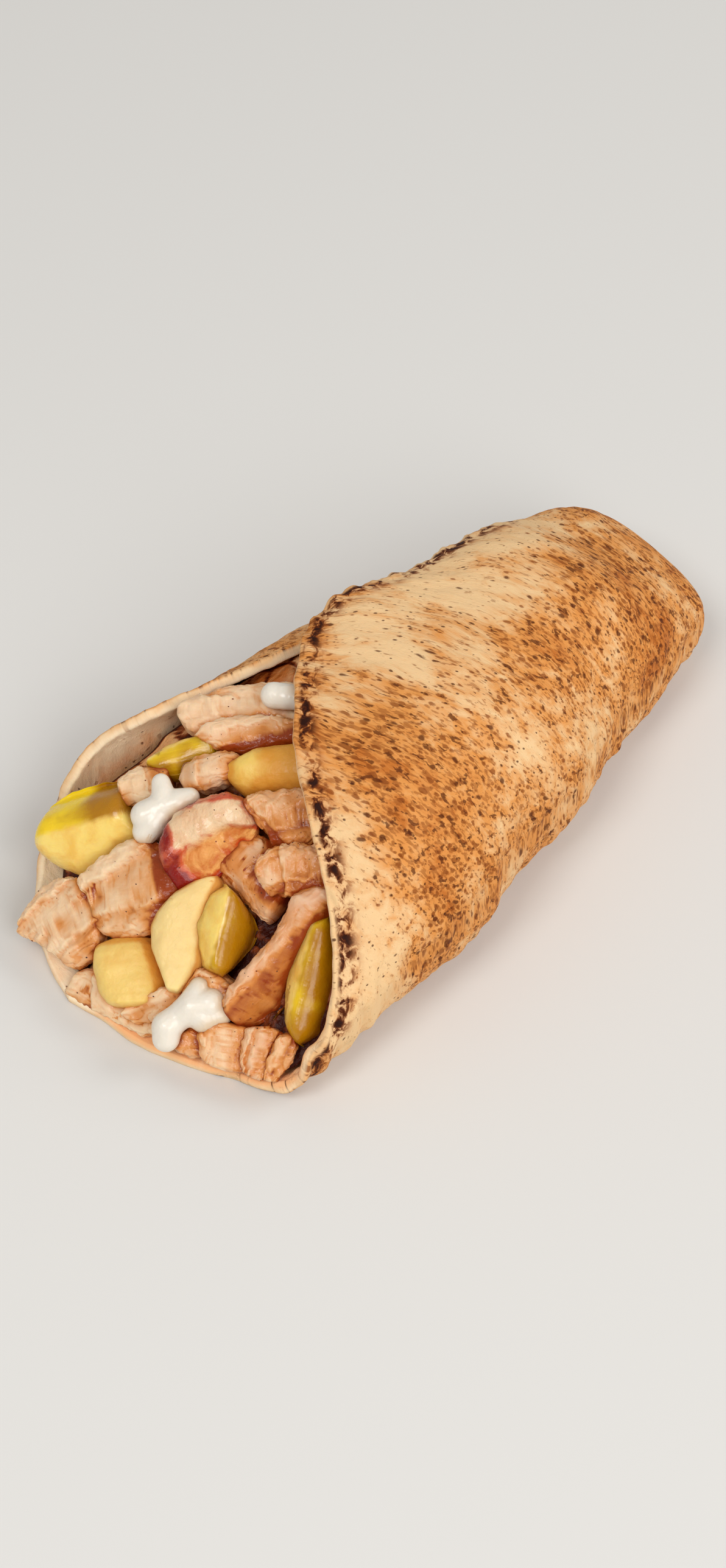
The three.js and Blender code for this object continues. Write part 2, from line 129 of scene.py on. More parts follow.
def makePiece(name, points, faces, material, values=None, maps=None):
    mesh = bpy.data.meshes.new(name)
    places = (np.asarray(points, float) - wrapMiddle) * 0.001
    mesh.from_pydata(places.tolist(), [], np.asarray(faces).tolist())
    for key, numbers in (values or {}).items():
        mesh.attributes.new(key, "FLOAT", "POINT").data.foreach_set("value", np.asarray(numbers, np.float32))
    corners = np.empty(len(mesh.loops), np.int32)
    mesh.loops.foreach_get("vertex_index", corners)
    for key, pairs in (maps or {}).items():
        mesh.uv_layers.new(name=key).data.foreach_set("uv", np.asarray(pairs, np.float32)[corners].ravel())
    work = bmesh.new()
    work.from_mesh(mesh)
    bmesh.ops.remove_doubles(work, verts=work.verts, dist=2e-7)
    bmesh.ops.recalc_face_normals(work, faces=work.faces)
    work.to_mesh(mesh)
    work.free()
    mesh.shade_smooth()
    mesh.materials.append(material)
    return addObject(name, mesh)


def pointTree(points):
    tree = KDTree(len(points))
    for i, point in enumerate(points):
        tree.insert(point, i)
    tree.balance()
    return tree


def nearness(pieces, others, reach=0.0035):
    # how close each point of a piece is to whatever lies against it, 1 where they touch
    graph = bpy.context.evaluated_depsgraph_get()
    trees = {piece: BVHTree.FromObject(piece, graph) for piece in pieces + others}
    boxes = {piece: (np.array(piece.bound_box).min(0), np.array(piece.bound_box).max(0)) for piece in trees}
    for piece in pieces:
        low, high = boxes[piece]
        near = [tree for other, tree in trees.items() if other is not piece
                and (boxes[other][0] < high + reach).all() and (boxes[other][1] > low - reach).all()]
        gaps = np.full(len(piece.data.vertices), reach)
        for i, vertex in enumerate(piece.data.vertices):
            for tree in near:
                place, normal, _, gap = tree.find_nearest(vertex.co, gaps[i])
                if place is not None:
                    gaps[i] = 0 if (vertex.co - place).dot(normal) < 0 else gap
        values = piece.data.attributes.new("contact", "FLOAT", "POINT").data
        values.foreach_set("value", (1 - gaps / reach).astype(np.float32))


def settle(piece, node):
    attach(piece, "root")
    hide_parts(node)


def bake(piece):
    # the evaluated mesh becomes the piece's own, and its modifiers go
    graph = bpy.context.evaluated_depsgraph_get()
    mesh = bpy.data.meshes.new_from_object(piece.evaluated_get(graph), depsgraph=graph)
    piece.modifiers.clear()
    old = piece.data
    piece.data = mesh
    if old.users == 0:
        bpy.data.meshes.remove(old)
    return piece


# ---- materials

class Value:
    # what a node gives, so that a material's sums can be written as formulas
    def __init__(self, socket):
        self.socket = socket

    def __add__(self, other):
        return maths("ADD", self, other)

    def __sub__(self, other):
        return maths("SUBTRACT", self, other)

    def __mul__(self, other):
        return maths("MULTIPLY", self, other)


def colour(text):
    # a colour as it looks on a screen, made linear
    parts = [int(text[i:i + 2], 16) / 255 for i in (1, 3, 5)]
    linear = [p / 12.92 if p <= 0.04045 else ((p + 0.055) / 1.055) ** 2.4 for p in parts]
    return (*linear, 1.0)


def plug(value, socket):
    if isinstance(value, Value):
        socket.id_data.links.new(value.socket, socket)
    elif isinstance(value, str) and value.startswith("#"):
        socket.default_value = colour(value)
    else:
        socket.default_value = value


def addNode(tree, kind, inputs=None, **settings):
    node = tree.nodes.new(kind)
    for key, value in settings.items():
        setattr(node, key, value)
    for key, value in (inputs or {}).items():
        plug(value, node.inputs[key])
    return node


def result(kind, inputs, output=0, **settings):
    # what a new node gives, in the tree that its inputs come from
    tree = next(value.socket.id_data for value in inputs.values() if isinstance(value, Value))
    return Value(addNode(tree, kind, inputs, **settings).outputs[output])


def maths(operation, *values, clamp=False):
    return result("ShaderNodeMath", dict(enumerate(values)), operation=operation, use_clamp=clamp)


def fade(value, low, high, bottom=0.0, top=1.0):
    inputs = {"Value": value, "From Min": low, "From Max": high, "To Min": bottom, "To Max": top}
    return result("ShaderNodeMapRange", inputs, interpolation_type="SMOOTHSTEP")


def blend(share, under, over):
    return result("ShaderNodeMix", {0: share, 6: under, 7: over}, 2, data_type="RGBA")


def tint(under, over, value, low, high, most=1.0):
    # one colour over another, none of it where the value is low and the most where it is high
    return blend(fade(value, low, high, 0.0, most), under, over)


def stretch(place, sizes, shift):
    inputs = {"Vector": place, "Scale": tuple(1 / size for size in sizes), "Location": shift}
    return result("ShaderNodeMapping", inputs)


def cloudy(place, sizes, detail=3.0, roughness=0.55, distortion=0.0, shift=(0, 0, 0), output=0):
    # soft clouds of one size, or of a size for each way, whose values lie round 0.5
    sizes = sizes if isinstance(sizes, tuple) else (sizes,) * 3
    inputs = {"Vector": stretch(place, sizes, shift), "Scale": 1.0, "Detail": detail,
              "Roughness": roughness, "Distortion": distortion}
    return result("ShaderNodeTexNoise", inputs, output)


def patches(place, limit, soft, **form):
    # where clouds rise over a limit
    return maths("DIVIDE", cloudy(place, **form) - limit, soft, clamp=True)


def spots(place, growth, sizes, largest, share, soft, wobble, shift):
    # at most one spot in each cell of the given sizes; share of the cells have one
    bent = cloudy(place, 3.1, 1.0, shift=shift, output="Color")
    inputs = {0: bent, 1: (wobble,) * 3, 2: (-wobble / 2,) * 3}
    swing = result("ShaderNodeVectorMath", inputs, operation="MULTIPLY_ADD")
    cells = result("ShaderNodeVectorMath", {0: stretch(place, sizes, shift), 1: swing}, operation="ADD")
    cell = addNode(cells.socket.id_data, "ShaderNodeTexVoronoi", {"Vector": cells, "Scale": 1.0},
                   voronoi_dimensions="2D").outputs
    chance = result("ShaderNodeSeparateColor", {0: Value(cell["Color"])})
    radius = fade(chance, 1 - share, 1.0, -0.2, largest) + growth
    return maths("DIVIDE", radius - Value(cell["Distance"]), soft, clamp=True)


def attribute(tree, name):
    return Value(addNode(tree, "ShaderNodeAttribute", attribute_name=name).outputs["Fac"])


def mapPlace(tree, name):
    return Value(addNode(tree, "ShaderNodeUVMap", uv_map=name).outputs[0])


def startMaterial(name, finish):
    # a material with its shader's plain settings; the place on the piece comes with it
    material = bpy.data.materials.new(name)
    material.use_nodes = True
    tree = material.node_tree
    for key, value in finish["shader"].items():
        plug(value, tree.nodes["Principled BSDF"].inputs[key])
    return material, tree, Value(addNode(tree, "ShaderNodeTexCoord").outputs["Object"])


def endMaterial(material, skin, relief=None, depth=0.0, rough=None):
    inputs = material.node_tree.nodes["Principled BSDF"].inputs
    plug(skin, inputs["Base Color"])
    if rough:
        plug(rough, inputs["Roughness"])
    if relief:
        bump = {"Height": relief, "Distance": depth, "Strength": 1.0}
        plug(result("ShaderNodeBump", bump), inputs["Normal"])
    return material


# ---- camera, floor and light

view = {
    "target": (-14.9, -3.8, 25.0),
    "azimuth": 43.7,       # degrees from +y round to +x, the way the camera looks
    "elevation": 50.0,
    "distance": 750.0,
    "pixelFocus": 5100.0,  # focal length in pixels of the 2576 pixel side
    "longSide": 2576.0,
    "sensor": 36.0,
}


def makeCamera():
    azimuth, elevation = math.radians(view["azimuth"]), math.radians(view["elevation"])
    ahead = Vector((math.sin(azimuth) * math.cos(elevation), math.cos(azimuth) * math.cos(elevation),
                    -math.sin(elevation)))
    data = bpy.data.cameras.new("camera")
    data.sensor_fit = "VERTICAL"
    data.sensor_height = view["sensor"]
    data.lens = view["sensor"] * view["pixelFocus"] / view["longSide"]
    data.clip_start = 0.01
    camera = addObject("camera", data)
    camera.location = (Vector(view["target"]) - ahead * view["distance"]) * 0.001
    camera.rotation_euler = ahead.to_track_quat("-Z", "Y").to_euler()
    scene.camera = camera


studio = {
    "shader": {"Base Color": "#dcdad6", "Roughness": 0.7},
    "floorReach": 2.5,           # metres
    "worldColour": (1.0, 0.985, 0.96, 1.0),
    "world": 0.42,
    "lights": {
        "key": {"place": (-1.05, -0.2, 1.6), "size": 0.7, "power": 11.5},
        "fill": {"place": (-0.5, -1.6, 1.3), "size": 1.2, "power": 16.0},
        "side": {"place": (1.2, -0.9, 1.2), "size": 1.0, "power": 10.8},
    },
}


def makeLight(name, sizes):
    data = bpy.data.lights.new(name, "AREA")
    data.shape = "DISK"
    data.size = sizes["size"]
    data.energy = sizes["power"]
    light = addObject(name, data)
    light.location = sizes["place"]
    light.rotation_euler = (-Vector(sizes["place"])).to_track_quat("-Z", "Y").to_euler()


def makeStudio():
    reach = studio["floorReach"]
    mesh = bpy.data.meshes.new("floor")
    corners = [(-reach, -reach, 0), (reach, -reach, 0), (reach, reach, 0), (-reach, reach, 0)]
    mesh.from_pydata(corners, [], [(0, 1, 2, 3)])
    mesh.materials.append(startMaterial("floorPaper", studio)[0])
    floor = addObject("floor", mesh)
    for name, sizes in studio["lights"].items():
        makeLight(name, sizes)
    scene.world = bpy.data.worlds.new("studio")
    scene.world.use_nodes = True
    background = scene.world.node_tree.nodes["Background"]
    background.inputs["Color"].default_value = studio["worldColour"]
    background.inputs["Strength"].default_value = studio["world"]


makeCamera()
makeStudio()
print("camera and studio made")

# ---- the flatbread

bread = {
    "tip": -139.5,       # where the edge turns under the filling
    "join": 32.0,        # past here the roll is one closed tube
    "end": 57.0,
    "hollowEnd": 44.0,
    "endTurn": 54.3,     # past here the skin faces along the roll
    "thickness": 2.8,
    "layerGap": 0.9,
    "crown": 2.4,        # roundness of a section's upper half, 2 being an ellipse
    "base": 3.2,
    "press": 0.9,        # how far the roll sinks on to the table, which flattens its underside
    "rimBulge": 0.7,
    "cornerRise": 2.2,   # the flap's corner stands up off the layer below
    "cornerX": -33.0,
    "cornerReach": 13.0,
    "shrinkFrom": 40.0,  # where the roll starts to draw in to the folded end
    "ripple": 0.5,
    "wrinkle": 0.16,     # fine wrinkles that follow the toasting
    "rimRough": 0.8,     # how far the flap's edge curls up in places
    "degreeLength": 0.5,
    "sag": 0.55,         # puckers along the near side, just above the table
    "blisters": 60,
    "blisterSeed": 5,
    "sagAngles": (150, 178, 198, 216),  # from where to where the puckers grow, and where they fade
    "paler": 0.8,        # how strongly the paler and the browner zones below show
    "browner": 0.7,
    "charFrom": (-134, -127),  # no char on the flap's edge before the first, all of it past the second
    "rimClear": 60.0,    # far enough from the edge for no char to show
    "rowsOpen": 300,
    "rowsClosed": 44,
    "columnsOut": 206,
    "columnsIn": 72,
    "rimLines": 5,
}

# the roll's outer size: x, reach to the near side, reach to the back, height
rollSizes = [
    (-140, -46.6, 40, 24), (-127, -48.4, 43, 27.5), (-112, -51, 50, 33.5), (-100, -50.8, 51, 42),
    (-84, -50.8, 45.5, 50.5), (-62, -49.6, 40, 54), (-43, -45, 36.5, 54), (-22, -40.5, 33, 51),
    (0, -33.5, 31, 48), (25, -27.3, 31, 43), (43, -21.5, 29, 35), (52, -18, 26, 25), (57, -14.9, 22, 17),
]

# the sheet's two edges as angles round the roll, 0 at the back, 90 on top, 180 at the near side
flapEdge = [
    (-139.5, 279), (-136.5, 268), (-131.6, 254), (-126.5, 238), (-122.5, 207), (-118.4, 182),
    (-112.3, 166), (-105.6, 151), (-96.6, 130), (-86.3, 105), (-79.6, 93), (-72, 85),
    (-61.6, 71), (-48.5, 55), (-35, 49), (0, 45), (20, 42), (32, 40),
]
tuckedEdge = [
    (-139.5, 279), (-136.5, 292), (-132, 310), (-127.3, 324), (-112, 354), (-96.8, 371),
    (-82.9, 384), (-62.5, 399), (-42.3, 414), (-30, 430), (-5, 430), (8, 416), (20, 407), (32, 400),
]


def endShrink(x, sharpness):
    start = bread["shrinkFrom"]
    t = np.clip((x - start) / (bread["end"] - start), 0, 1)
    return (1 - t ** sharpness) ** 0.5


def rollHalves(x):
    # middle and half width across the roll, and the heights of its section
    low, high, tall = through(rollSizes, x, 1), through(rollSizes, x, 2), through(rollSizes, x, 3)
    halfHeight = tall / 2 * endShrink(x, 4)
    floorGap = (tall / 2 - halfHeight) * 0.5 + 5 * smoothStep(44, bread["end"], x)
    return (low + high) / 2, (high - low) / 2 * endShrink(x, 7), halfHeight, floorGap


def roll(x, angle):
    x, angle = np.broadcast_arrays(np.asarray(x, float), np.asarray(angle, float))
    centre, halfWidth, halfHeight, floorGap = rollHalves(x)
    c, s = np.cos(np.radians(angle)), np.sin(np.radians(angle))
    power = 2 / np.where(s >= 0, bread["crown"], bread["base"])
    z = halfHeight * (1 + signedPower(s, power)) + floorGap
    y = centre + halfWidth * signedPower(c, power)
    return np.stack([x, y, np.maximum(z - bread["press"], 0)], -1)


def rollNormal(x, angle):
    x, angle = np.asarray(x, float), np.asarray(angle, float)
    along = roll(np.minimum(x + 0.4, bread["end"]), angle) - roll(x - 0.4, angle)
    around = roll(x, angle + 1.5) - roll(x, angle - 1.5)
    return unit(np.cross(around, along))


def flapLift(x, angle):
    corner = hill(x - bread["cornerX"], bread["cornerReach"]) * (1 - smoothStep(50, 85, angle))
    proud = bread["thickness"] + bread["layerGap"] + bread["cornerRise"] * corner
    return proud * (1 - smoothStep(95, 150, angle)) * (1 - smoothStep(15, bread["join"], x))


def freeOfTable(angle):
    return smoothStep(-0.85, -0.3, np.sin(np.radians(angle)))


def beforeEnd(x):
    return 1 - smoothStep(46, bread["end"], x)


def ripple(x, angle):
    turn = np.radians(angle)
    wave = np.sin(x / 7 + 2 * np.cos(turn)) + np.sin(x / 11 - 3 * turn)
    return bread["ripple"] * wave * freeOfTable(angle) * beforeEnd(x)


def flowPlace(x, angle):
    # how far a point is across and along the way the bread was stretched and toasted
    centre, halfWidth, halfHeight, _ = rollHalves(x)
    around = np.radians(angle - 90) * (halfWidth + halfHeight) / 2
    lean = 0.55 * (1 - smoothStep(-25, 45, x))
    turning = 30 * (1 - np.exp(-np.clip(around, -40, 200) / 30))
    return np.stack([x - lean * turning, around], -1)


def blisters(skin):
    # raised bubbles where the bread puffed up on the griddle: x, angle, width, height
    random = np.random.default_rng(bread["blisterSeed"])
    bubbles = [(-52, 62, 5, 0.7), (-75, 90, 4, 0.5), (-94, 128, 4.5, 0.5), (-20, 60, 6, 0.7), (6, 66, 7, 0.6)]
    ranges = ((-120, 48), (45, 215), (1.6, 5.0), (0.1, 0.34))
    for _ in range(bread["blisters"]):
        bubbles.append([random.uniform(*pair) for pair in ranges])
    rise = np.zeros(skin.shape[:-1])
    for x, angle, width, height in bubbles:
        rise += height * hill(np.linalg.norm(skin - roll(x, angle), axis=-1), width)
    return rise


def sheetSide(x, first, last, share, depth):
    # one side of the sheet: its points, and each one's x and angle round the roll
    angle = first[:, None] + (last - first)[:, None] * share
    x = np.repeat(x[:, None], len(share), 1)
    skin, free, flow = roll(x, angle), freeOfTable(angle), flowPlace(x, angle)
    wrinkles = 0.6 * uneven(flow / (1.0, 3.2), 3.4, 11) + uneven(flow / (1.0, 2.0), 9, 12)
    lift = flapLift(x, angle) + ripple(x, angle)
    lift += (bread["wrinkle"] * wrinkles + blisters(skin)) * free * beforeEnd(x)
    fromEdge = (angle - through(flapEdge, x)) * bread["degreeLength"]
    nearEdge = hill(fromEdge, 3.5) * (1 - smoothStep(10, 28, x))
    lift += bread["rimRough"] * nearEdge * free * (1 + uneven(np.stack([x, fromEdge], -1), 6.5, 17)) / 2
    rise, full, fall, gone = bread["sagAngles"]
    low = smoothStep(rise, full, angle) * (1 - smoothStep(fall, gone, angle)) * beforeEnd(x)
    lift += bread["sag"] * low * uneven(np.stack([x, angle / 4], -1), 8.5, 13)
    return skin + rollNormal(x, angle) * (lift - depth)[..., None], x, angle


def rimDirections(line, beside):
    # which way the sheet's edge points, smoothed along the edge
    along = unit(np.gradient(line, axis=0))
    out = unit(line - beside)
    out = unit(out - along * (out * along).sum(-1, keepdims=True))
    out[0] = (-1, 0, 0)
    padded = np.concatenate([out[:1], out[:1], out, out[-1:], out[-1:]])
    kernel = np.array([1, 2, 3, 2, 1]) / 9
    return unit(np.stack([np.convolve(padded[:, k], kernel, "valid") for k in range(3)], -1))


def rimSurface(high, low, beside, x, seed):
    # the round edge between the sheet's outer and inner side
    out = rimDirections(high, beside) * bread["rimBulge"]
    out = out * (1 + 0.35 * uneven(high, 9, seed)[:, None]) * (1 - smoothStep(2, 13, x))[:, None]
    turns = np.linspace(0, math.pi, bread["rimLines"] + 2)
    return np.stack([(high + low) / 2 + (high - low) / 2 * math.cos(turn) + out * math.sin(turn)
                     for turn in turns], 1)


def rimPlace(points, line):
    # how far along an edge of the sheet a point is, and how far from it
    quarters = (0, 0.25, 0.5, 0.75)
    dense = np.concatenate([line[:-1] + (line[1:] - line[:-1]) * k for k in quarters])
    length = np.concatenate([[0], np.cumsum(np.linalg.norm(np.diff(line, axis=0), axis=1))])
    lengths = np.concatenate([length[:-1] + np.diff(length) * k for k in quarters])
    tree = pointTree(dense)
    found = [tree.find(point)[1:] for point in points]
    return np.array([(lengths[i], min(gap, bread["rimClear"])) for i, gap in found])


# where the bread is paler (below 0) or browner than usual: x, angle, reach in mm, strength
toastZones = [
    (-40, 70, 12, -0.75), (-42, 86, 10, -0.65), (-41, 96, 8, -0.5), (-40, 109, 8, -0.45),
    (-35, 143, 9, -0.5), (-16, 63, 11, -1.0), (4, 57, 12, -1.2), (21, 58, 11, -1.1), (-5, 91, 10, -0.7),
    (-96, 150, 10, -0.9), (-106, 158, 12, -0.75), (-100, 178, 14, -0.6), (-54, 79, 5, -0.3),
    (-79, 113, 5, -0.35), (-92, 129, 8, -0.7), (-84, 158, 9, -0.2), (-9, 152, 9, -0.1), (10, 136, 9, -0.05),
    (-24, 147, 8, 0.15), (-90, 180, 9, 0.35), (17, 88, 8, -0.3), (-12, 168, 9, -0.35),
    (21, 106, 12, 0.6), (24, 160, 13, 0.65), (36, 138, 9, -0.2), (-2, 108, 7, 0.35), (-3, 134, 7, 0.25),
    (-11, 107, 7, 0.3), (-58, 96, 8, 0.45), (-48, 94, 6, 0.75), (-68, 101, 7, 0.7), (-66, 117, 10, 0.8),
    (-74, 134, 9, 0.2), (-50, 126, 8, 0.4), (-46, 111, 6, 0.35), (-62, 146, 10, 0.5), (-70, 172, 12, 0.5),
    (-45, 160, 10, 0.2), (-137, 225, 16, -1.2), (-137, 262, 16, -1.2), (-134, 300, 14, -1.2),
]


def toasting(x, points):
    tone = 0.54 + 0.12 * smoothStep(-60, 35, x) + 0.2 * uneven(points, 22, 3, 3)
    for zoneX, zoneAngle, reach, strength in toastZones:
        share = bread["paler"] if strength < 0 else bread["browner"]
        tone += share * strength * hill(np.linalg.norm(points - roll(zoneX, zoneAngle), axis=-1), reach)
    return np.clip(tone, 0, 1.2)


def makeBread(material):
    tip, join, rowsOpen, closed = bread["tip"], bread["join"], bread["rowsOpen"], bread["rowsClosed"]
    t, late = np.arange(rowsOpen) / rowsOpen, np.arange(closed + 1) / closed
    mouthX = tip + (join - tip) * (0.55 * t ** 1.7 + 0.45 * t)
    outX = np.concatenate([mouthX, join + (bread["end"] - join) * (1 - (1 - late) ** 1.6)])
    inX = np.concatenate([mouthX, join + (bread["hollowEnd"] - join) * late])
    first = through(flapEdge, outX)
    last = np.where(np.arange(len(outX)) < rowsOpen, through(tuckedEdge, outX), first + 360)
    outShare, inShare = np.linspace(0, 1, bread["columnsOut"]), np.linspace(0, 1, bread["columnsIn"])
    # past the join the sheet's edges meet, and both of its ends close to a point
    outer, outX, outAngle = sheetSide(outX, first, last, 0.45 * outShare + 0.55 * outShare ** 2, 0)
    inner, inX, inAngle = sheetSide(inX, first, last, inShare, bread["thickness"])
    for side in (outer, inner):
        side[0] = side[0, :1]
        side[rowsOpen:, -1] = side[rowsOpen:, 0]
        side[-1] = side[-1, 1:].mean(0)

    # each grid of points, with its side of the sheet, x, angle, whether by the flap, and whether turned
    grids = [(outer, 0, outX, outAngle, outShare < 0.5, False), (inner, 1, inX, inAngle, inShare < 0.5, True)]
    for column, beside in ((0, 1), (-1, -2)):
        edge, x = slice(rowsOpen + 1), outX[:rowsOpen + 1, :1]
        rim = rimSurface(outer[edge, column], inner[edge, column], outer[edge, beside], x[:, 0], 21 + column)
        side = np.linspace(0, 1, rim.shape[1])
        grids.append((rim, side, x, outAngle[edge, column, None], column == 0, column == 0))
    points = np.concatenate([grid[0].reshape(-1, 3) for grid in grids])
    side, x, angle, byFlap = (np.concatenate([np.broadcast_to(grid[k], grid[0].shape[:2]).ravel()
                                              for grid in grids]) for k in range(1, 5))
    faces, start = [], 0
    for grid in grids:
        rows, columns = grid[0].shape[:2]
        faces.append(gridFaces(rows, columns, start, turned=grid[5]))
        start += rows * columns

    rim = rimPlace(points, outer[:rowsOpen + 1, 0])
    uncharred = smoothStep(20, join, x) + 1 - smoothStep(*bread["charFrom"], x)
    gap = rim[:, 1] * (1 - 0.15 * smoothStep(-42, -25, x)) + bread["rimClear"] / 2 * uncharred
    rim[:, 1] = np.where(byFlap, gap, bread["rimClear"])
    values = {"side": side, "toast": toasting(x, points), "stain": smoothStep(-92, -60, x),
              "tuckGap": rimPlace(points, outer[:rowsOpen + 1, -1])[:, 1], "endFace": x - bread["endTurn"]}
    maps = {"flow": flowPlace(x, angle), "rim": rim}
    return makePiece("toastedBread", points, np.concatenate(faces), material, values, maps)


breadFinish = {
    "cream": "#ecc592", "tan": "#dd9146", "brown": "#b9641f", "fleck": "#84400f", "spot": "#572306",
    "dot": "#4f220c", "char": "#260a03", "halo": "#a9561b", "rim": "#f9d9ae", "rimTan": "#efc594",
    "lining": "#ffe6c2", "liningTan": "#f6b478", "liningSpot": "#a2602e", "stain": "#b5561c",
    "deepStainAndShade": "#4f0d04",
    "shader": {"Roughness": 0.72, "Specular IOR Level": 0.15, "Subsurface Weight": 0.08,
               "Subsurface Radius": (1.0, 0.5, 0.25), "Subsurface Scale": 0.002},
}

# toasted marks in the order they are laid on: kind, how the heat changes it, strength, tone and form
breadMarks = {
    "fine": (patches, (-0.1, 0.9, 0.64, 0.5), 0.5, "fleck", {
        "sizes": (0.85, 2.1, 1), "detail": 2, "roughness": 0.5, "distortion": 0.4, "soft": 0.08}),
    "dense": (spots, (-0.1, 0.9, -0.26, 0.05), 0.75, "fleck", {
        "sizes": (1.7, 2.3, 1), "largest": 0.42, "share": 0.9, "soft": 0.14, "wobble": 0.7,
        "shift": (8.3, 1.4, 0)}),
    "small": (spots, (-0.1, 0.9, -0.26, 0.05), 0.6, "fleck", {
        "sizes": (1.15, 1.5, 1), "largest": 0.38, "share": 0.8, "soft": 0.14, "wobble": 0.6,
        "shift": (2.9, 6.2, 0)}),
    "broad": (patches, (0.0, 1.0, 0.7, 0.57), 0.8, "spot", {
        "sizes": (1.6, 2.5, 1), "distortion": 0.4, "soft": 0.05, "shift": (4.1, 9.3, 0)}),
    "longer": (spots, (0.0, 0.6, -0.12, 0.0), 0.85, "spot", {
        "sizes": (2.7, 3.2, 1), "largest": 0.3, "share": 0.4, "soft": 0.12, "wobble": 0.7,
        "shift": (17.2, 2.4, 0)}),
    "dots": (spots, (0.0, 1.0, 0.0, 0.0), 0.85, "dot", {
        "sizes": (2.0, 2.2, 1), "largest": 0.18, "share": 0.4, "soft": 0.08, "wobble": 0.4,
        "shift": (41.0, 5.5, 0)}),
}


def breadFlow(tree, place):
    # along and across the toasting, and on the folded end's flat face up and across
    parts = addNode(tree, "ShaderNodeSeparateXYZ", {0: place}).outputs
    ends = {0: Value(parts[2]) * 1000.0, 1: Value(parts[1]) * 1000.0}
    onEnd = maths("GREATER_THAN", attribute(tree, "endFace"), 0.0)
    inputs = {0: onEnd, 4: mapPlace(tree, "flow"), 5: result("ShaderNodeCombineXYZ", ends)}
    return result("ShaderNodeMix", inputs, 1, data_type="VECTOR")


def breadSkin(tree, flow, mottle):
    # the toasted side, with its marks thickest where the bread is brownest
    tone = breadFinish
    heat = attribute(tree, "toast") + (cloudy(flow, (8, 12, 1), 4, distortion=0.8) * 1.7 - 0.85)
    heat = heat + (mottle * 1.3 - 0.65)
    skin = tint(tone["cream"], tone["tan"], heat, -0.1, 0.85, 0.95)
    skin = tint(skin, tone["brown"], heat, 0.75, 1.4, 0.8)
    masks = {}
    for name, (kind, answer, strength, key, form) in breadMarks.items():
        masks[name] = kind(flow, fade(heat, *answer), **form)
        skin = blend(masks[name] * strength, skin, tone[key])
    return skin, masks


def breadRim(tree, place, side, skin):
    # scorched blisters in a chain a little way in from the flap's edge, and the pale edge itself
    tone, rim = breadFinish, mapPlace(tree, "rim")
    gap = Value(addNode(tree, "ShaderNodeSeparateXYZ", {0: rim}).outputs[1])
    chain = cloudy(rim, (3.0, 2.5, 1), 3, 0.6, 0.5, (0.7, 0.3, 0))
    charring = cloudy(rim, (11, 9, 1), 2, shift=(5.2, 1.7, 0)) * 0.5 + (chain - 0.25)
    near = fade(gap, 0.3, 1.7) * fade(gap, 5.8, 2.6)
    wide = fade(gap, 0.2, 1.8) * fade(gap, 7.5, 3.0)
    outside = fade(side, 0.5, 0.15)
    scorch = near * fade(charring, 0.46, 0.57) * outside
    burnt = near * fade(charring, 0.54, 0.66, 0, 0.92)
    skin = blend(wide * fade(charring, 0.38, 0.6, 0, 0.85) * outside, skin, tone["halo"])
    skin = blend(scorch, skin, tone["spot"])
    skin = blend(burnt * outside, skin, tone["char"])
    plain = tint(tone["rim"], tone["rimTan"], cloudy(place, 0.006, 3, 0.6), 0.4, 0.65)
    notCharred = maths("SUBTRACT", 1.0, scorch, clamp=True)
    return blend(fade(side, 0.1, 0.4, 0, 0.85) * notCharred, skin, plain), burnt


def breadLining(tree, place, masks):
    # the untoasted inside, tanned in patches and speckled; further in from the tucked edge it is tanner as
    # painted shade, and further along the roll it turns brown to near black, partly a stain from the filling
    # further in and partly painted shade
    tone, tuckGap = breadFinish, attribute(tree, "tuckGap")
    # tanned patches, tanner further in from the tucked edge as painted shade
    deeper = cloudy(place, 0.014, 5, 0.6) + fade(tuckGap, 2, 16, -0.12, 0.2)
    lining = tint(tone["lining"], tone["liningTan"], deeper, 0.42, 0.72, 0.9)
    lining = blend(masks["dots"] * 0.75, lining, tone["spot"])
    lining = blend(masks["longer"] * 0.45, lining, tone["liningSpot"])
    # browner to near black further along the roll and further in: a stain from the filling, and painted shade
    wet = attribute(tree, "stain") * fade(tuckGap, 3, 12)
    wet = wet + (cloudy(place, 0.01, 4, shift=(3, 1, 2)) * 0.9 - 0.5)
    lining = tint(lining, tone["stain"], wet, 0.25, 0.65, 0.9)
    return tint(lining, tone["deepStainAndShade"], wet, 0.6, 0.95, 0.95)


def breadMaterial():
    material, tree, place = startMaterial("toastedBread", breadFinish)
    flow, side = breadFlow(tree, place), attribute(tree, "side")
    mottle = cloudy(flow, (2.4, 4.2, 1), 4, 0.6, 0.7, (3.3, 8.1, 0))
    skin, masks = breadSkin(tree, flow, mottle)
    skin, burnt = breadRim(tree, place, side, skin)
    skin = blend(fade(side, 0.35, 0.8), skin, breadLining(tree, place, masks))
    rough = fade(cloudy(place, 0.003, 2), 0.3, 0.7, 0.6, 0.85)
    pits = cloudy(flow, (0.7, 1.6, 1), 5, 0.7) - maths("MAXIMUM", masks["longer"], masks["dots"]) * 0.5
    return endMaterial(material, skin, mottle * 1.2 + burnt * 0.8 + pits, 0.00022, rough)


breadPiece = makeBread(breadMaterial())
settle(breadPiece, "bread")
print("flatbread made:", len(breadPiece.data.polygons), "faces")

# ---- the sauced filling inside the roll

core = {
    "start": -133.0, "stop": 41.0, "rings": 190, "below": 74, "above": 60,
    "lump": 2.2,        # height of the chopped lumps where the filling shows
    "lumpGap": 6.5,     # from one lump to the next
    "seed": 31,
    "lean": 1.1,        # over 1 the heap is higher by the flap than by the back wall
    "clear": 1.2,       # gap that is left to the bread
    "light": "#eab47c", "tan": "#c26c2a", "brown": "#8a3c10", "dark": "#431204",
    "shader": {"Roughness": 0.4, "Specular IOR Level": 0.25, "Subsurface Weight": 0.1,
               "Subsurface Scale": 0.002},
}
heapHeight = [(-139.5, 3), (-130, 5), (-120, 12), (-100, 25), (-80, 34), (-60, 41), (-40, 47)]


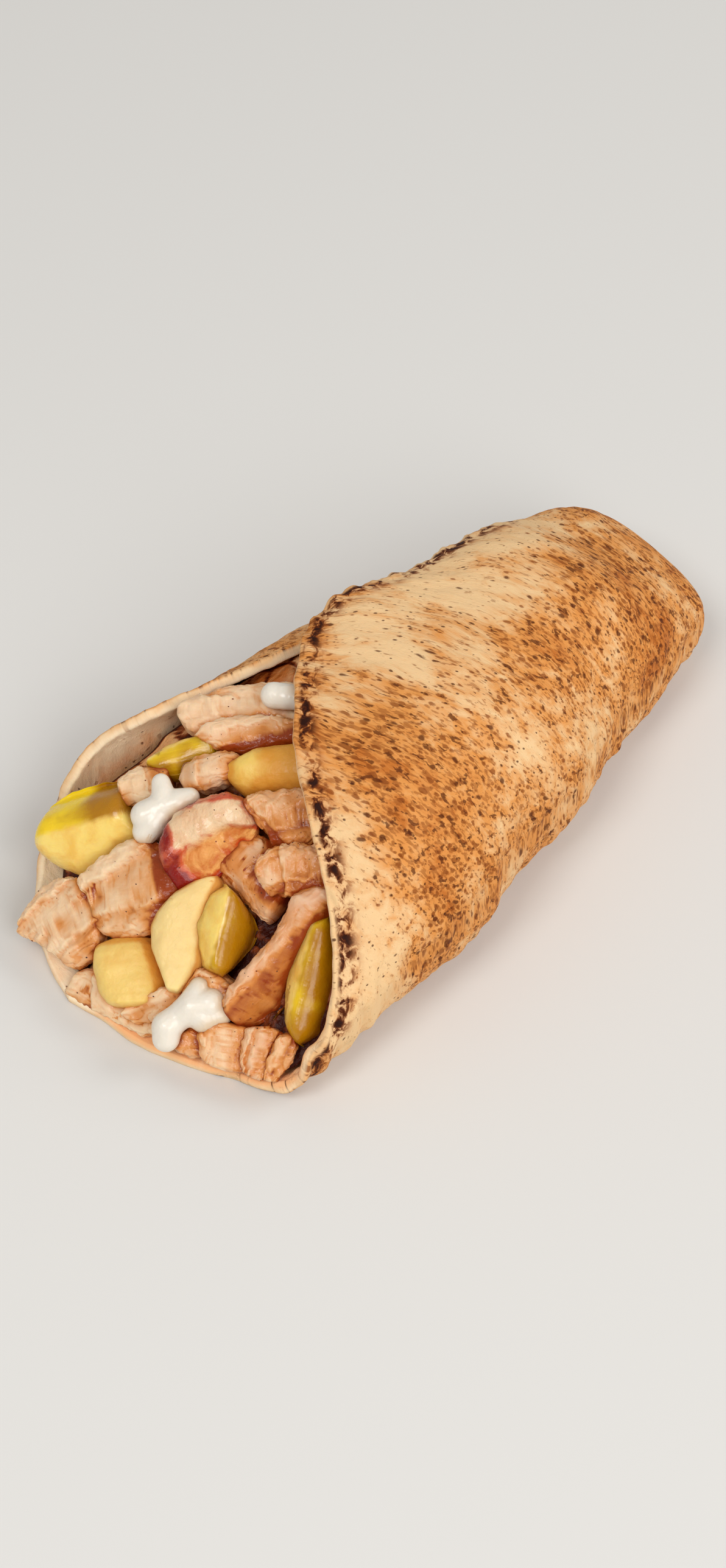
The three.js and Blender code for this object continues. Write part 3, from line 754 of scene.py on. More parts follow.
def choppedLumps(points):
    # rounded lumps like chopped meat, the gaps between them painted dark as shade, and a tone for each lump
    random = np.random.default_rng(core["seed"])
    low, high = points.reshape(-1, 3).min(0), points.reshape(-1, 3).max(0)
    count = int((high - low)[0] * (high - low)[1] / core["lumpGap"] ** 2)
    centres = random.uniform(low, high, (count, 3))
    tones = random.uniform(0, 1, count)
    tree = pointTree(centres * (1, 1, 0))
    found = [tree.find_n((point[0], point[1], 0), 2) for point in points.reshape(-1, 3)]
    rows = [(one[2], other[2] - one[2], tones[one[1]]) for one, other in found]
    near, edge, tone = np.array(rows).T.reshape(3, *points.shape[:2])
    rise = smoothStep(0, 2.4, edge) * (1 - (near / core["lumpGap"]) ** 2 * 0.4)
    return rise, 1 - smoothStep(0.2, 1.6, edge), tone


def corePoints(x, angle):
    # the filling's place just under the sheet
    depth = bread["thickness"] + core["clear"] + 3 * smoothStep(0, 30, x)
    rise = np.minimum(ripple(x, angle), 0) - depth
    return roll(x, angle) + rollNormal(x, angle) * rise[..., None]


def makeCore(material):
    below, above = core["below"], core["above"]
    t = np.linspace(0, 1, core["rings"])[:, None]
    x = core["start"] + (core["stop"] - core["start"]) * (0.4 * t ** 1.8 + 0.6 * t)
    flap, tucked = through(flapEdge, x), through(tuckedEdge, x)
    mouth = (1 - smoothStep(-70, -45, x)) * smoothStep(core["start"], -118, x)
    full = tucked - flap >= 356
    first = np.where(full, 60, flap + 5 + 16 * mouth)
    last = np.where(full, 420 - 360 / (below + above) * above, tucked - 5 - 20 * mouth)
    under = corePoints(x, first + (last - first) * np.linspace(0, 1, below))
    u = np.arange(1, above + 1) / (above + 1)
    lid = corePoints(x, last + (first + 360 - last) * u)
    flat = under[:, -1:] + (under[:, :1] - under[:, -1:]) * u[:, None]
    crown = np.maximum(through(heapHeight, x), flat[..., 2])
    rise, crevice, tone = choppedLumps(flat)
    lumps = core["lump"] * (rise - 0.7) + 0.3 * uneven(flat, 3.5, core["seed"])
    arch = np.sin(math.pi * u ** core["lean"]) ** 0.8
    heaped = flat.copy()
    heaped[..., 2] = np.minimum(flat[..., 2] + (crown - flat[..., 2]) * arch + lumps * arch, lid[..., 2])
    rings = np.concatenate([under, np.where(full[..., None], lid, heaped)], 1)
    columns = rings.shape[1]
    ends = [rings[0].mean(0) + (-1.5, 0, 0), rings[-1].mean(0) + (1, 0, 0)]
    points = np.concatenate([[ends[0]] * columns, rings.reshape(-1, 3), [ends[1]] * columns])
    faces = gridFaces(len(x) + 2, columns, closed=True)
    values = {}
    # crevice and dark are painted shade: the gaps between lumps, and the heap darker towards the flap
    for key, number in (("crevice", crevice), ("tone", tone), ("dark", smoothStep(0.35, 0.75, u))):
        shown = np.where(full, 1, number)
        field = np.concatenate([np.ones((len(x), below)), shown], 1).ravel()
        values[key] = np.concatenate([np.ones(columns), field, np.ones(columns)])
    return makePiece("saucedFilling", points, faces, material, values)


def fillingMaterial():
    material, tree, place = startMaterial("saucedFilling", core)
    shreds = cloudy(place, (0.005, 0.003, 0.004), 4, 0.6, 0.8)
    swing = shreds * 1.2 - 0.6
    mixed = tint(core["light"], core["tan"], attribute(tree, "tone") + swing, 0.1, 0.9)
    # painted shade: brown to near black in the gaps between lumps and towards the flap side
    gaps = attribute(tree, "crevice") + swing + attribute(tree, "dark") * 0.7
    mixed = tint(mixed, core["brown"], gaps, 0.0, 0.7)
    mixed = tint(mixed, core["dark"], gaps, 0.5, 1.1)
    return endMaterial(material, mixed, cloudy(place, (0.002, 0.0012, 0.002), 4) + shreds, 0.0007)


corePiece = makeCore(fillingMaterial())
settle(corePiece, "filling_core")
print("filling made")

# ---- pieces heaped at the mouth
# from and to: ends of the centre line. face: the way the shown side looks. outline: the shown side's
# edge as steps along that line and across it, from its middle.

loft = {
    "rings": 84, "around": 100,
    "torn": 0.35,      # roughness of the edges
    "ease": 1.35,      # how far in from an end the piece reaches its thickness
    "boxy": 4.2,       # roundness of a section, 2 being an ellipse
    "grain": 0.0,      # the way the fibres run, in degrees from along to across
    "corner": 0.9,     # how far the outline's corners are eased
    "clear": 0.35,     # gap that is left to the bread
    "lowest": 0.4,
}


def localAxes(sizes):
    start, stop = np.array(sizes["from"], float), np.array(sizes["to"], float)
    along = unit(stop - start)
    face = np.array(sizes["face"], float)
    face = unit(face - along * face.dot(along))
    return (start + stop) / 2, along, np.cross(face, along), face


def outlineEdges(outline, count=600):
    # the low and the high edge of an outline at even steps along it, with its corners eased
    points = np.array(outline, float)
    points = np.roll(points, -int(points[:, 0].argmin()), axis=0)
    turn = int(points[:, 0].argmax())
    one = points[:turn + 1]
    other = np.concatenate([points[turn:], points[:1]])[::-1]
    steps = np.linspace(points[0, 0], points[turn, 0], count)
    reach = max(int(count * loft["corner"] / (steps[-1] - steps[0])), 1)
    kernel = np.hanning(2 * reach + 3)[1:-1]
    eased = []
    for side in (one, other):
        edge = np.interp(steps, np.maximum.accumulate(side[:, 0] + np.arange(len(side)) * 1e-6), side[:, 1])
        before, after = 2 * edge[0] - edge[reach:0:-1], 2 * edge[-1] - edge[-2:-reach - 2:-1]
        eased.append(np.convolve(np.concatenate([before, edge, after]), kernel / kernel.sum(), "valid"))
    return steps, np.minimum(*eased), np.maximum(*eased)


def pressInside(points):
    # whatever would cut into the bread is pressed in against it
    x, y, z = points.T
    centre, halfWidth, halfHeight, floorGap = rollHalves(x)
    middleZ = halfHeight + floorGap - bread["press"]
    a, b = (y - centre) / halfWidth, (z - middleZ) / halfHeight
    roundness = np.where(b >= 0, bread["crown"], bread["base"])
    share = np.maximum((np.abs(a) ** roundness + np.abs(b) ** roundness) ** (1 / roundness), 1e-6)
    angle = np.degrees(np.arctan2(signedPower(b, roundness / 2), signedPower(a, roundness / 2))) % 360
    flap, tucked = through(flapEdge, x), through(tuckedEdge, x)
    under = np.zeros(len(x), bool)
    for shift in (0, 360):
        under |= (angle + shift > flap - 2) & (angle + shift < tucked + 2)
    radius = np.hypot(y - centre, z - middleZ) / share
    lift = np.where(angle > 40, flapLift(x, angle), 0) + np.minimum(ripple(x, angle), 0)
    limit = 1 - (bread["thickness"] + loft["clear"] - lift) / radius
    outside = under & (share > limit) & (x > bread["tip"] + 0.5)
    scale = np.where(outside, limit / share, 1)
    pressed = points.copy()
    pressed[:, 1] = centre + (y - centre) * scale
    pressed[:, 2] = np.maximum(middleZ + (z - middleZ) * scale, loft["lowest"])
    return pressed


def pieceName(node):
    head, *rest = node.split("_")
    return head + "".join(word.capitalize() for word in rest)


def boxed(wave, roundness):
    # a circle's cosine or sine, drawn out towards a box's
    return signedPower(np.where(np.abs(wave) < 1e-9, 0, wave), 2 / roundness)[None]


def loftPiece(node, sizes, seed, material, shape):
    # rings across the piece, each rounded at its edges, then shape() adds relief and surface values
    form = {**loft, **sizes}
    centre, along, across, face = localAxes(form)
    steps, low, high = outlineEdges(form["outline"])
    rings, around, ease = form["rings"], form["around"], form["ease"]
    s = np.linspace(0, 1, rings)
    s = 0.5 * s + 0.5 * (1 - np.cos(math.pi * s)) / 2
    a = (steps[0] + (steps[-1] - steps[0]) * s)[:, None]
    low, high = np.interp(a, steps, low), np.interp(a, steps, high)
    toEnd = np.minimum(a - steps[0], steps[-1] - a)
    cap = np.sqrt(np.clip(1 - (1 - np.clip(toEnd / ease, 0, 1)) ** 2, 0, 1))
    half = np.maximum(high - low, 0.6) / 2
    half = np.maximum(half - 0.5 * ease * (1 - cap), 0.3 * half)
    turn = 2 * math.pi * np.arange(around) / around
    y, z = boxed(np.cos(turn), form["boxy"]), boxed(np.sin(turn), form["boxy"])
    w = (low + high) / 2 + half * y
    a = np.repeat(a, around, 1)
    relief, values = shape(a, w, sizes, seed)
    shown, hidden = smoothStep(0.0, 0.7, z) * cap, smoothStep(0.0, 0.7, -z) * cap
    edge = np.maximum(np.abs(y) ** 6, 1 - cap)
    tall = form["thick"] / 2 * cap * z + relief * shown
    tall = tall + 0.4 * uneven(np.stack([a, w], -1), 6, seed + 9) * hidden
    rough = form["torn"] * uneven(np.stack([a, w, 1.5 * tall], -1), 3.4, seed, 3)
    w = w + rough * np.sign(y) * np.abs(y) ** 3 * cap
    tall = tall + 0.3 * rough * edge * cap * np.sign(z)
    points = centre + a[..., None] * along + w[..., None] * across + tall[..., None] * face
    alongGrain, acrossGrain = alongAcross(a, w, form["grain"])
    maps = {"grain": np.stack([alongGrain, acrossGrain + tall * 0.8], -1).reshape(-1, 2)}
    values.update(edge=edge, upward=z)
    values = {key: np.broadcast_to(number, tall.shape).ravel() for key, number in values.items()}
    faces = gridFaces(rings, around, closed=True)
    piece = makePiece(pieceName(node), pressInside(points.reshape(-1, 3)), faces, material, values, maps)
    piece["node"] = node
    return piece


def loftPieces(kinds, firstSeed, material, shape):
    return [loftPiece(node, sizes, seed, material, shape)
            for seed, (node, sizes) in enumerate(kinds.items(), firstSeed)]


meat = {
    "dent": 0.22, "glaze": 0.3, "pink": 0.2, "fibre": 0.03, "torn": 0.3, "crumbly": 0.3, "grain": 0.0,
    "layers": 0.26,    # depth of the fine layers
    "wobble": 0.6,     # how far a ledge's line strays
    "ledgeSoft": 0.22,
    "sideSoft": 0.6,
}


def meatShape(a, w, sizes, seed):
    # ledges: lines past which a layer of meat ends and the next lies lower: turn, reach, drop, recovery
    # sides: lines past which the piece slopes away: turn, reach, slope, and how much glazing and painted
    # shade the slope gets (paler below 0)
    sizes = {**meat, **sizes}
    place = np.stack([a, w], -1)
    dents = uneven(place, 9, seed + 3)
    relief = sizes["dent"] * dents + 0.1 * uneven(place, 3.6, seed + 5)
    glaze, pale = sizes["glaze"] - 0.1 * dents, 0.5 + 0.3 * dents
    wobble = uneven(place, 7, seed + 7, 3)
    for turn, reach, drop, recovery in sizes.get("ledges", ()):
        past = alongAcross(a, w, turn)[0] - reach + meat["wobble"] * wobble
        step = smoothStep(-meat["ledgeSoft"], meat["ledgeSoft"], past)
        shade = np.exp(-np.maximum(past, 0) / recovery)
        relief = relief + drop * (0.15 * hill(past, 1.2) - step * shade)
        # painted shadow on the lower layer just past the ledge, and a painted highlight on the ledge's lip
        glaze = glaze + 0.4 * step * shade
        pale = pale + 0.4 * hill(past + 0.8, 0.8)
    for turn, reach, slope, tone in sizes.get("sides", ()):
        past = alongAcross(a, w, turn)[0] - reach
        relief = relief - slope * softPast(past, meat["sideSoft"])
        # the slope's glazing and painted shade
        glaze = glaze + tone * smoothStep(-0.3, 0.8, past)
    alongGrain, acrossGrain = alongAcross(a, w, sizes["grain"])
    strands = np.stack([alongGrain / 6, acrossGrain], -1)
    level = 1.5 * uneven(strands * (2.5, 1.0), 9, seed + 8, 3)
    part, thin = level - np.floor(level), sizes["layers"]
    relief = relief + thin * (np.floor(level) + smoothStep(0, 0.16, part))
    # painted shade at the foot of each fine step, and a painted highlight on its lip
    glaze = glaze + 0.25 * smoothStep(0.7, 1.0, part) * thin / meat["layers"]
    pale = pale + 0.5 * smoothStep(0.1, 0.18, part) * (1 - smoothStep(0.2, 0.4, part))
    # spots of glazing and painted shade; a spot below 0 makes the meat paler
    for stainA, stainW, radius, strength in sizes.get("stains", ()):
        glaze = glaze + strength * hill(np.hypot(a - stainA, w - stainW), radius)
    for dimpleA, dimpleW, radius, depth in sizes.get("dimples", ()):
        dip = hill(np.hypot(a - dimpleA, w - dimpleW), radius)
        relief, glaze = relief - depth * dip, glaze + 0.8 * dip
    relief = relief + sizes["fibre"] * uneven(strands, 1.4, seed + 2)
    crumbs = np.abs(uneven(place, 2.6, seed + 4))
    relief = relief + 0.6 * sizes["torn"] * crumbs * sizes["crumbly"]
    return relief, {"glaze": glaze, "pale": np.clip(pale, 0, 1), "pink": sizes["pink"]}


# chicken, from the lowest slices to the highest
chickenSlices = {
    "chicken_floor": {
        "from": (-136, 14, 3), "to": (-131, -14, 6), "face": (-0.64, 0, 0.77), "thick": 5,
        "outline": [(-13.5, -4), (-13.5, 1), (-9.5, 4.5), (2, 3), (11, 2.5), (15.5, -1), (11, -4),
            (-4.5, -4.5)], "glaze": 0.15, "ledges": [(200, 6, 0.6, 5)], "crumbly": 0.6,
    },
    "chicken_tip": {
        "from": (-139, 29, 4), "to": (-121, 17, 17), "face": (-0.6, 0.05, 0.79), "thick": 7,
        "outline": [(-12, 2.5), (-10, 4.5), (-6.5, 7.5), (-2.5, 10), (4, 10), (7.5, 8), (10, 2),
            (10.5, -5), (7.5, -10), (4.5, -12), (0.5, -12.5), (-2.5, -11), (-4, -7.5), (-7.5, -2)],
        "ledges": [(-74, -6.3, 1.4, 2.4), (-70, 0.8, 1.2, 3.0), (-82, 6.6, 1.2, 3.0)],
        "sides": [(-100, 9.0, 0.5, 0.1)], "grain": 16, "glaze": 0.32, "torn": 0.45, "fibre": 0.05,
        "pink": 0.3, "stains": [(5, -9, 4, 0.35), (9, 3, 3, 0.4), (-8, 1, 4, 0.15)],
    },
    "chicken_dark": {
        "from": (-132, -18, 6), "to": (-127, -27, 7), "face": (-0.61, -0.22, 0.76), "thick": 6,
        "outline": [(-4.5, -2), (-3.5, 1.5), (-0.5, 4), (3.5, 3.5), (4.5, 0), (3.5, -2.5), (0, -3)],
        "glaze": 0.75, "pink": 0.7,
    },
    "chicken_strip": {
        "from": (-135, -4, 6), "to": (-123, -16, 15), "face": (-0.68, -0.18, 0.71), "thick": 6,
        "outline": [(-9.5, -0.5), (-6, 1.5), (0, 2.5), (7, 2.5), (8, -1.5), (5, -3.5), (-1.5, -4.5),
            (-6.5, -4)], "glaze": 0.3, "ledges": [(-85, 0.5, 0.8, 3)], "pink": 0.4,
    },
    "chicken_under_sauce": {
        "from": (-126, -14, 11), "to": (-116, -24, 16), "face": (-0.65, -0.24, 0.72), "thick": 8,
        "outline": [(-6, 1), (-4, 4.5), (-0.5, 7), (3.5, 6), (7.5, 1), (6, -2.5), (1, -4.5),
            (-4.5, -3.5)], "glaze": 0.45, "sides": [(30, 4.5, 0.4, 0.2)],
    },
    "chicken_low_right": {
        "from": (-114, -41, 15), "to": (-124, -43, 6), "face": (-0.6, -0.43, 0.68), "thick": 5,
        "outline": [(-6.5, 0), (-4, 2), (-0.5, 2.5), (6, 1), (6.5, -2), (1.5, -3), (-4.5, -3)],
        "glaze": 0.6, "ledges": [(90, 0, 0.6, 2)],
    },
    "chicken_low_mid": {
        "from": (-117, -34, 14), "to": (-126, -40, 6), "face": (-0.55, -0.42, 0.72), "thick": 6,
        "outline": [(-5, -4.5), (-6.5, 1), (-5.5, 5), (0, 5), (3.5, 4), (6.5, 1.5), (5.5, -3),
            (1.5, -4.5)], "ledges": [(84, -2.6, 1.2, 1.6), (80, 0.0, 1.4, 1.6), (84, 2.6, 1.2, 1.8)],
        "torn": 0.35, "glaze": 0.44, "fibre": 0.05, "pink": 0.95,
    },
    "chicken_low_left": {
        "from": (-121, -27, 13), "to": (-129, -32, 6), "face": (-0.5, -0.36, 0.79), "thick": 6,
        "outline": [(-3.5, -7), (-5, -1.5), (-5, 5), (1.5, 6.5), (6, 6), (6.5, 1), (5.5, -4.5),
            (1.5, -6.5)], "ledges": [(96, 0.4, 0.5, 4)], "sides": [(-80, 4.8, 0.4, 0.1)], "glaze": 0.46,
        "fibre": 0.05, "pink": 0.3,
    },
    "chicken_slab": {
        "from": (-84, 35, 37), "to": (-60, 8, 45), "face": (-0.33, 0.02, 0.94), "thick": 7,
        "outline": [(-16.5, 1), (-15.5, 3), (-12.5, 5), (-5, 7.5), (4.5, 7.5), (12.5, 6.5), (17, 4.5),
            (17, -3.5), (12.5, -4.5), (6.5, -4), (0.5, -4), (-8, -4.5), (-11.5, -5), (-14.5, -2.5)],
        "ledges": [(28, -5.0, 0.9, 5.0), (75, 2.6, 0.8, 4.0)], "sides": [(-60, 5.5, 0.4, 0.05)],
        "glaze": 0.16, "grain": -10, "fibre": 0.05, "pink": 0.5, "dent": 0.4,
        "stains": [(-12, -3, 4, 0.3), (6, -3.6, 3, 0.4)],
    },
    "chicken_slab_low": {
        "from": (-86, 25, 38), "to": (-64, 4, 45), "face": (-0.45, -0.13, 0.89), "thick": 7,
        "outline": [(-14.5, 2), (-10.5, 4.5), (-6.5, 5), (1, 5), (9.5, 2.5), (14, 0), (13.5, -4),
            (9, -4.5), (0.5, -4.5), (-6, -4), (-9.5, -2), (-12.5, 0)], "ledges": [(-84, -2.2, 0.5, 3.0)],
        "sides": [(-90, 2.0, 0.5, 0.75)], "glaze": 0.22, "pink": 0.5, "ease": 3.0,
        "stains": [(-4, -3.5, 3.5, 0.9), (3, -3.5, 4, 1.3), (10, -3, 4, 1.3)],
    },
    "chicken_bit_left": {
        "from": (-104, 32, 28), "to": (-94, 24, 33), "face": (-0.64, -0.02, 0.77), "thick": 9,
        "outline": [(-5.5, 3), (-2, 5), (5, 4.5), (8, 2.5), (6, -3.5), (1, -5), (-4.5, -4), (-5.5, 0)],
        "sides": [(90, 2.6, 0.8, 0.1), (15, 3.6, 0.5, 0.4)], "ledges": [(10, 2.6, 0.5, 1.2)],
        "glaze": 0.22, "boxy": 4, "ease": 1.4, "stains": [(6.5, 0, 3, 0.4), (-4, -3, 3, 0.4)],
    },
    "chicken_bit_back": {
        "from": (-95, 21, 36), "to": (-83, 11, 40), "face": (-0.55, -0.1, 0.83), "thick": 9,
        "outline": [(-7, 0), (-5.5, 3.5), (1, 4.5), (5.5, 4), (9, 2.5), (8, -3), (4.5, -3.5), (0, -4.5),
            (-5.5, -4)], "sides": [(172, 1.6, 0.75, 0.0), (90, 2.8, 0.5, 0.3), (0, 4.0, 0.5, 0.2)],
        "ledges": [(0, -1.4, 0.6, 2.0)], "glaze": 0.3, "pink": 0.5, "boxy": 4, "ease": 1.4,
        "stains": [(-4.5, 0, 3, 0.3)],
    },
    "chicken_torn_high": {
        "from": (-93, 0, 38), "to": (-77, -17, 41), "face": (-0.49, -0.18, 0.85), "thick": 9,
        "outline": [(-11, 4), (-7.5, 6), (2, 6.5), (8.5, 5.5), (8, -7), (4, -7.5), (-2, -7.5),
            (-4, -6.5), (-5, -3.5), (-9, 0.5)], "ledges": [(-140, 4.6, 0.9, 2.0), (-75, 3.0, 0.8, 2.5)],
        "torn": 0.55, "glaze": 0.65, "grain": 30, "crumbly": 0.5, "dent": 0.5, "pink": 0.35,
        "stains": [(3, 0, 4.5, 0.4), (-3, -4, 3, 0.35)],
    },
    "chicken_mid": {
        "from": (-98, 1, 30), "to": (-99, -24, 28), "face": (-0.48, -0.09, 0.87), "thick": 9,
        "outline": [(-10, -5), (-10.5, 0.5), (-10.5, 4), (-8.5, 8.5), (-3, 10.5), (4.5, 7.5), (8, 4),
            (9, -0.5), (9, -4.5), (4, -5), (-1.5, -5)], "sides": [(-90, 1.5, 0.8, -0.35),
            (60, 5.5, 0.6, 0.5)], "ledges": [(60, 4.5, 0.7, 3)], "glaze": 0.9, "pink": 0.6,
        "stains": [(-6, 7, 4, -0.4), (4, 0, 5, 0.3)],
    },
    "chicken_torn_low": {
        "from": (-99, -11, 34), "to": (-85, -28, 37), "face": (-0.53, -0.23, 0.82), "thick": 9,
        "outline": [(-10.5, 0), (-9.5, 3), (-6.5, 5.5), (-1, 6.5), (4.5, 5.5), (8.5, 2), (8.5, -5.5),
            (-1, -6), (-7, -5.5), (-8.5, -3)], "ledges": [(185, 3.4, 0.9, 4.0), (-80, 2.5, 0.5, 3.0)],
        "torn": 0.6, "glaze": 0.64, "grain": 20, "crumbly": 0.6, "pink": 0.5, "stains": [(4, 0, 5, 0.4),
            (-7, 0, 4, -0.3)],
    },
    "chicken_ridge": {
        "from": (-120, -26, 15), "to": (-90, -30, 35), "face": (-0.54, -0.35, 0.76), "thick": 10,
        "outline": [(-20.5, 0.5), (-17.5, 3), (-14.5, 3.5), (-9.5, 4), (0.5, 4), (7, 5.5), (11.5, 7.5),
            (16.5, 5), (19, 1), (15, -4), (7.5, -3), (2.5, -4), (-2.5, -5), (-9, -8.5), (-15.5, -9),
            (-20.5, -5.5)], "sides": [(-90, -0.3, 0.85, 0.34)], "ledges": [(-90, -0.9, 0.7, 2.5),
            (-75, 4.6, 0.5, 2.5)], "glaze": 0.52, "pink": 1.2, "ease": 3, "dent": 0.3,
        "stains": [(-10, -6, 6, 0.2), (3, -3, 5, 0.35)],
    },
    "chicken_fold": {
        "from": (-124, 24, 15), "to": (-108, 2, 28), "face": (-0.66, 0, 0.75), "thick": 9,
        "outline": [(-14.5, 3), (-8, 7), (-2.5, 10), (4, 11), (8.5, 8.5), (12, 3), (13.5, -3),
            (9.5, -8), (6, -12), (-0.5, -13), (-6.5, -12), (-10.5, -9), (-10, -5), (-11.5, -0.5)],
        "ledges": [(-66, -4.9, 2.0, 5.0), (-88, 6.2, 1.2, 3.0)], "sides": [(10, 7.5, 0.45, 0.5),
            (120, 9, 0.4, 0)], "dimples": [(-7.6, -2.2, 1.5, 1.0)], "glaze": 0.38, "ease": 3, "fibre": 0.02,
        "dent": 0.3, "stains": [(12, 0, 3.6, 1.1), (4, -2, 6, 0.3), (-4, 8, 5, -0.6), (6, -10, 4, 0.3)],
    },
}


chickenFinish = {
    "light": "#f3d0a4", "tan": "#ebbf8e", "pink": "#dba079", "pale": "#fce7c4", "glaze": "#d88634",
    "deepGlazeAndShade": "#8f2e03",
    "shader": {"Specular IOR Level": 0.3, "Subsurface Weight": 0.24, "Subsurface Radius": (1.0, 0.6, 0.25),
               "Subsurface Scale": 0.003},
}


def chickenMaterial():
    tone = chickenFinish
    material, tree, place = startMaterial("chicken", tone)
    threads = cloudy(mapPlace(tree, "grain"), (10, 1.4, 1), 3, 0.5, 0.3)
    skin = tint(tone["light"], tone["tan"], threads, 0.3, 0.75)
    skin = blend(attribute(tree, "pink") * 0.8, skin, tone["pink"])
    # pale also paints highlights on the lips of ledges and fine steps
    skin = blend(attribute(tree, "pale") * 0.35, skin, tone["pale"])
    wet = attribute(tree, "glaze") + (cloudy(place, 0.006, 4, distortion=0.5) * 0.7 - 0.38)
    # painted shade where the meat touches other pieces
    wet = wet + maths("POWER", attribute(tree, "contact"), 3.0) * 0.7
    # glazing and painted shade, from amber to dark red-brown
    skin = tint(skin, tone["glaze"], wet, 0.25, 1.05, 0.9)
    skin = tint(skin, tone["deepGlazeAndShade"], wet, 0.85, 1.5, 0.92)
    relief = threads * 0.6 + cloudy(place, 0.0012, 3)
    return endMaterial(material, skin, relief, 0.00018, fade(wet, 0.3, 1.0, 0.42, 0.22))


chickenPieces = loftPieces(chickenSlices, 1, chickenMaterial(), meatShape)
print("chicken made:", len(chickenPieces), "slices")

# shelf: how far the lower side lies under the pale top
glazedSlice = {
    "from": (-111, 9, 28), "to": (-89, -3, 39), "face": (-0.56, -0.19, 0.81), "thick": 11,
    "outline": [(-12.5, 2.5), (-10, 5.5), (-4, 9.5), (4, 9.5), (8.5, 8.5), (12.5, 5.5), (12.5, -2.5),
        (11, -4), (6.5, -4.5), (3.5, -7), (-0.5, -8.5), (-8, -10), (-11.5, -9), (-12.5, -3.5)],
    "ease": 3.4, "boxy": 2.8, "shelf": 2.6,
}

glazedFinish = {
    "light": "#eecaa0", "tan": "#dca070", "side": "#f2b062", "deepSide": "#cf7428", "glaze": "#c83602",
    "deepGlazeAndShade": "#8a0c01",
    "shader": {"Specular IOR Level": 0.3, "Coat Weight": 0.3, "Coat Roughness": 0.06,
               "Subsurface Weight": 0.14, "Subsurface Radius": (1.0, 0.5, 0.2), "Subsurface Scale": 0.003},
}


def glazedShape(a, w, sizes, seed):
    # a pale top, and below it a side that turned down and was glazed
    place = np.stack([a, w], -1)
    brink = 0.5 - 0.022 * (a - 0.5) ** 2 + 0.5 * uneven(place, 8, seed)
    below = smoothStep(0.5, -0.7, w - brink)
    dents, fibre = uneven(place, 7, seed + 3), uneven(place / (1.0, 4.0), 1.6, seed + 5)
    relief = 1.2 - sizes["shelf"] * below - 0.25 * np.maximum(brink - w, 0) + 0.2 * dents + 0.05 * fibre
    red = smoothStep(-4.8, -8.4, a - 0.05 * w) + 0.5 * hill(w - brink, 0.8)
    red = red + 0.6 * smoothStep(7.2, 9.0, w + 0.3 * a) + 0.5 * smoothStep(-6.2, -8.5, w - 0.25 * a)
    return relief, {"red": np.clip(red + 0.2 * dents, 0, 1.2), "below": below}


def glazedMaterial():
    tone = glazedFinish
    material, tree, place = startMaterial("glazedChicken", tone)
    clouds = cloudy(place, 0.005, 5, distortion=0.6)
    top = tint(tone["light"], tone["tan"], clouds, 0.4, 0.75)
    side = tint(tone["side"], tone["deepSide"], clouds, 0.35, 0.65)
    skin = blend(attribute(tree, "below"), top, side)
    # red glazing, deepened as painted shade where other pieces touch
    red = attribute(tree, "red") + (clouds * 1.3 - 0.65) + attribute(tree, "contact") * 0.5
    skin = tint(skin, tone["glaze"], red, 0.25, 0.7, 0.85)
    skin = tint(skin, tone["deepGlazeAndShade"], red, 0.65, 1.15)
    relief = clouds * 1.5 + cloudy(place, 0.0012, 4)
    return endMaterial(material, skin, relief, 0.0004, fade(red, 0.2, 0.9, 0.5, 0.16))


glazedPiece = loftPiece("chicken_glazed", glazedSlice, 18, glazedMaterial(), glazedShape)

# ---- pickles: round green rind, and pale cut flesh
# edge: where the round rind meets the flesh, counted across. rindAbove: the rind lies past it, not before

pickleSpears = {
    "pickle_back": {
        "from": (-96, 32, 31), "to": (-82, 18, 39), "face": (-0.32, 0.24, 0.92), "thick": 8,
        "outline": [(-8.5, -0.5), (-6.5, 1.5), (-3, 4), (1.5, 4.5), (5.5, 4), (9.5, 1), (8.5, -2),
            (4, -3), (-1, -4), (-5, -3.5)], "torn": 0.08, "edge": 1.8, "edgeLean": 0.3, "rindAbove": False,
        "green": 0.35, "roundRind": 6, "fleshSlope": 0.25,
    },
    "pickle_right": {
        "from": (-93, -31, 31), "to": (-116, -43, 10), "face": (-0.61, -0.38, 0.7), "thick": 13,
        "outline": [(-17, 0.5), (-12.5, 3.5), (-4, 6), (3.5, 6.5), (10, 5), (14.5, 2), (14, -1.5),
            (10, -4), (7, -5), (1.5, -6), (-6.5, -6), (-13.5, -5)], "torn": 0.08, "edge": -2.6,
        "edgeLean": 0.0, "rindAbove": True, "green": 0.55, "roundRind": 11, "fleshSlope": 0.5,
        "ease": 4.5, "boxy": 2.2, "greener": 0.07,
    },
    "pickle_left": {
        "from": (-122, 41, 14), "to": (-103, 19, 28), "face": (-0.5, -0.2, 0.84), "thick": 14,
        "outline": [(-16, 2), (-15.5, 4.5), (-11, 10.5), (-5, 12.5), (4.5, 13), (9.5, 12), (11, 6),
            (13.5, -3), (6, -5), (-5, -8.5), (-9, -6), (-15, -2)], "torn": 0.08, "edge": 3.0,
        "edgeLean": 0.03, "rindAbove": True, "green": 0.05, "roundRind": 9, "fleshSlope": 0.15,
        "ease": 6.0, "boxy": 2.3, "greener": 0.0, "darkEnd": 1.7,
    },
    "pickle_mid": {
        "from": (-101, -9, 29), "to": (-118, -21, 15), "face": (-0.2, -0.55, 0.8), "thick": 14,
        "outline": [(-12, -4), (-9, 0), (-5.5, 4), (-2.5, 6), (1.5, 5), (6, 2), (10, -1), (8.5, -5.5),
            (4, -7.5), (-1.5, -9), (-9, -7)], "torn": 0.08, "edge": -4.6, "edgeLean": -0.12,
        "rindAbove": True, "green": 0.65, "roundRind": 10, "fleshSlope": 0.7, "ease": 3.0, "boxy": 2.6,
    },
}

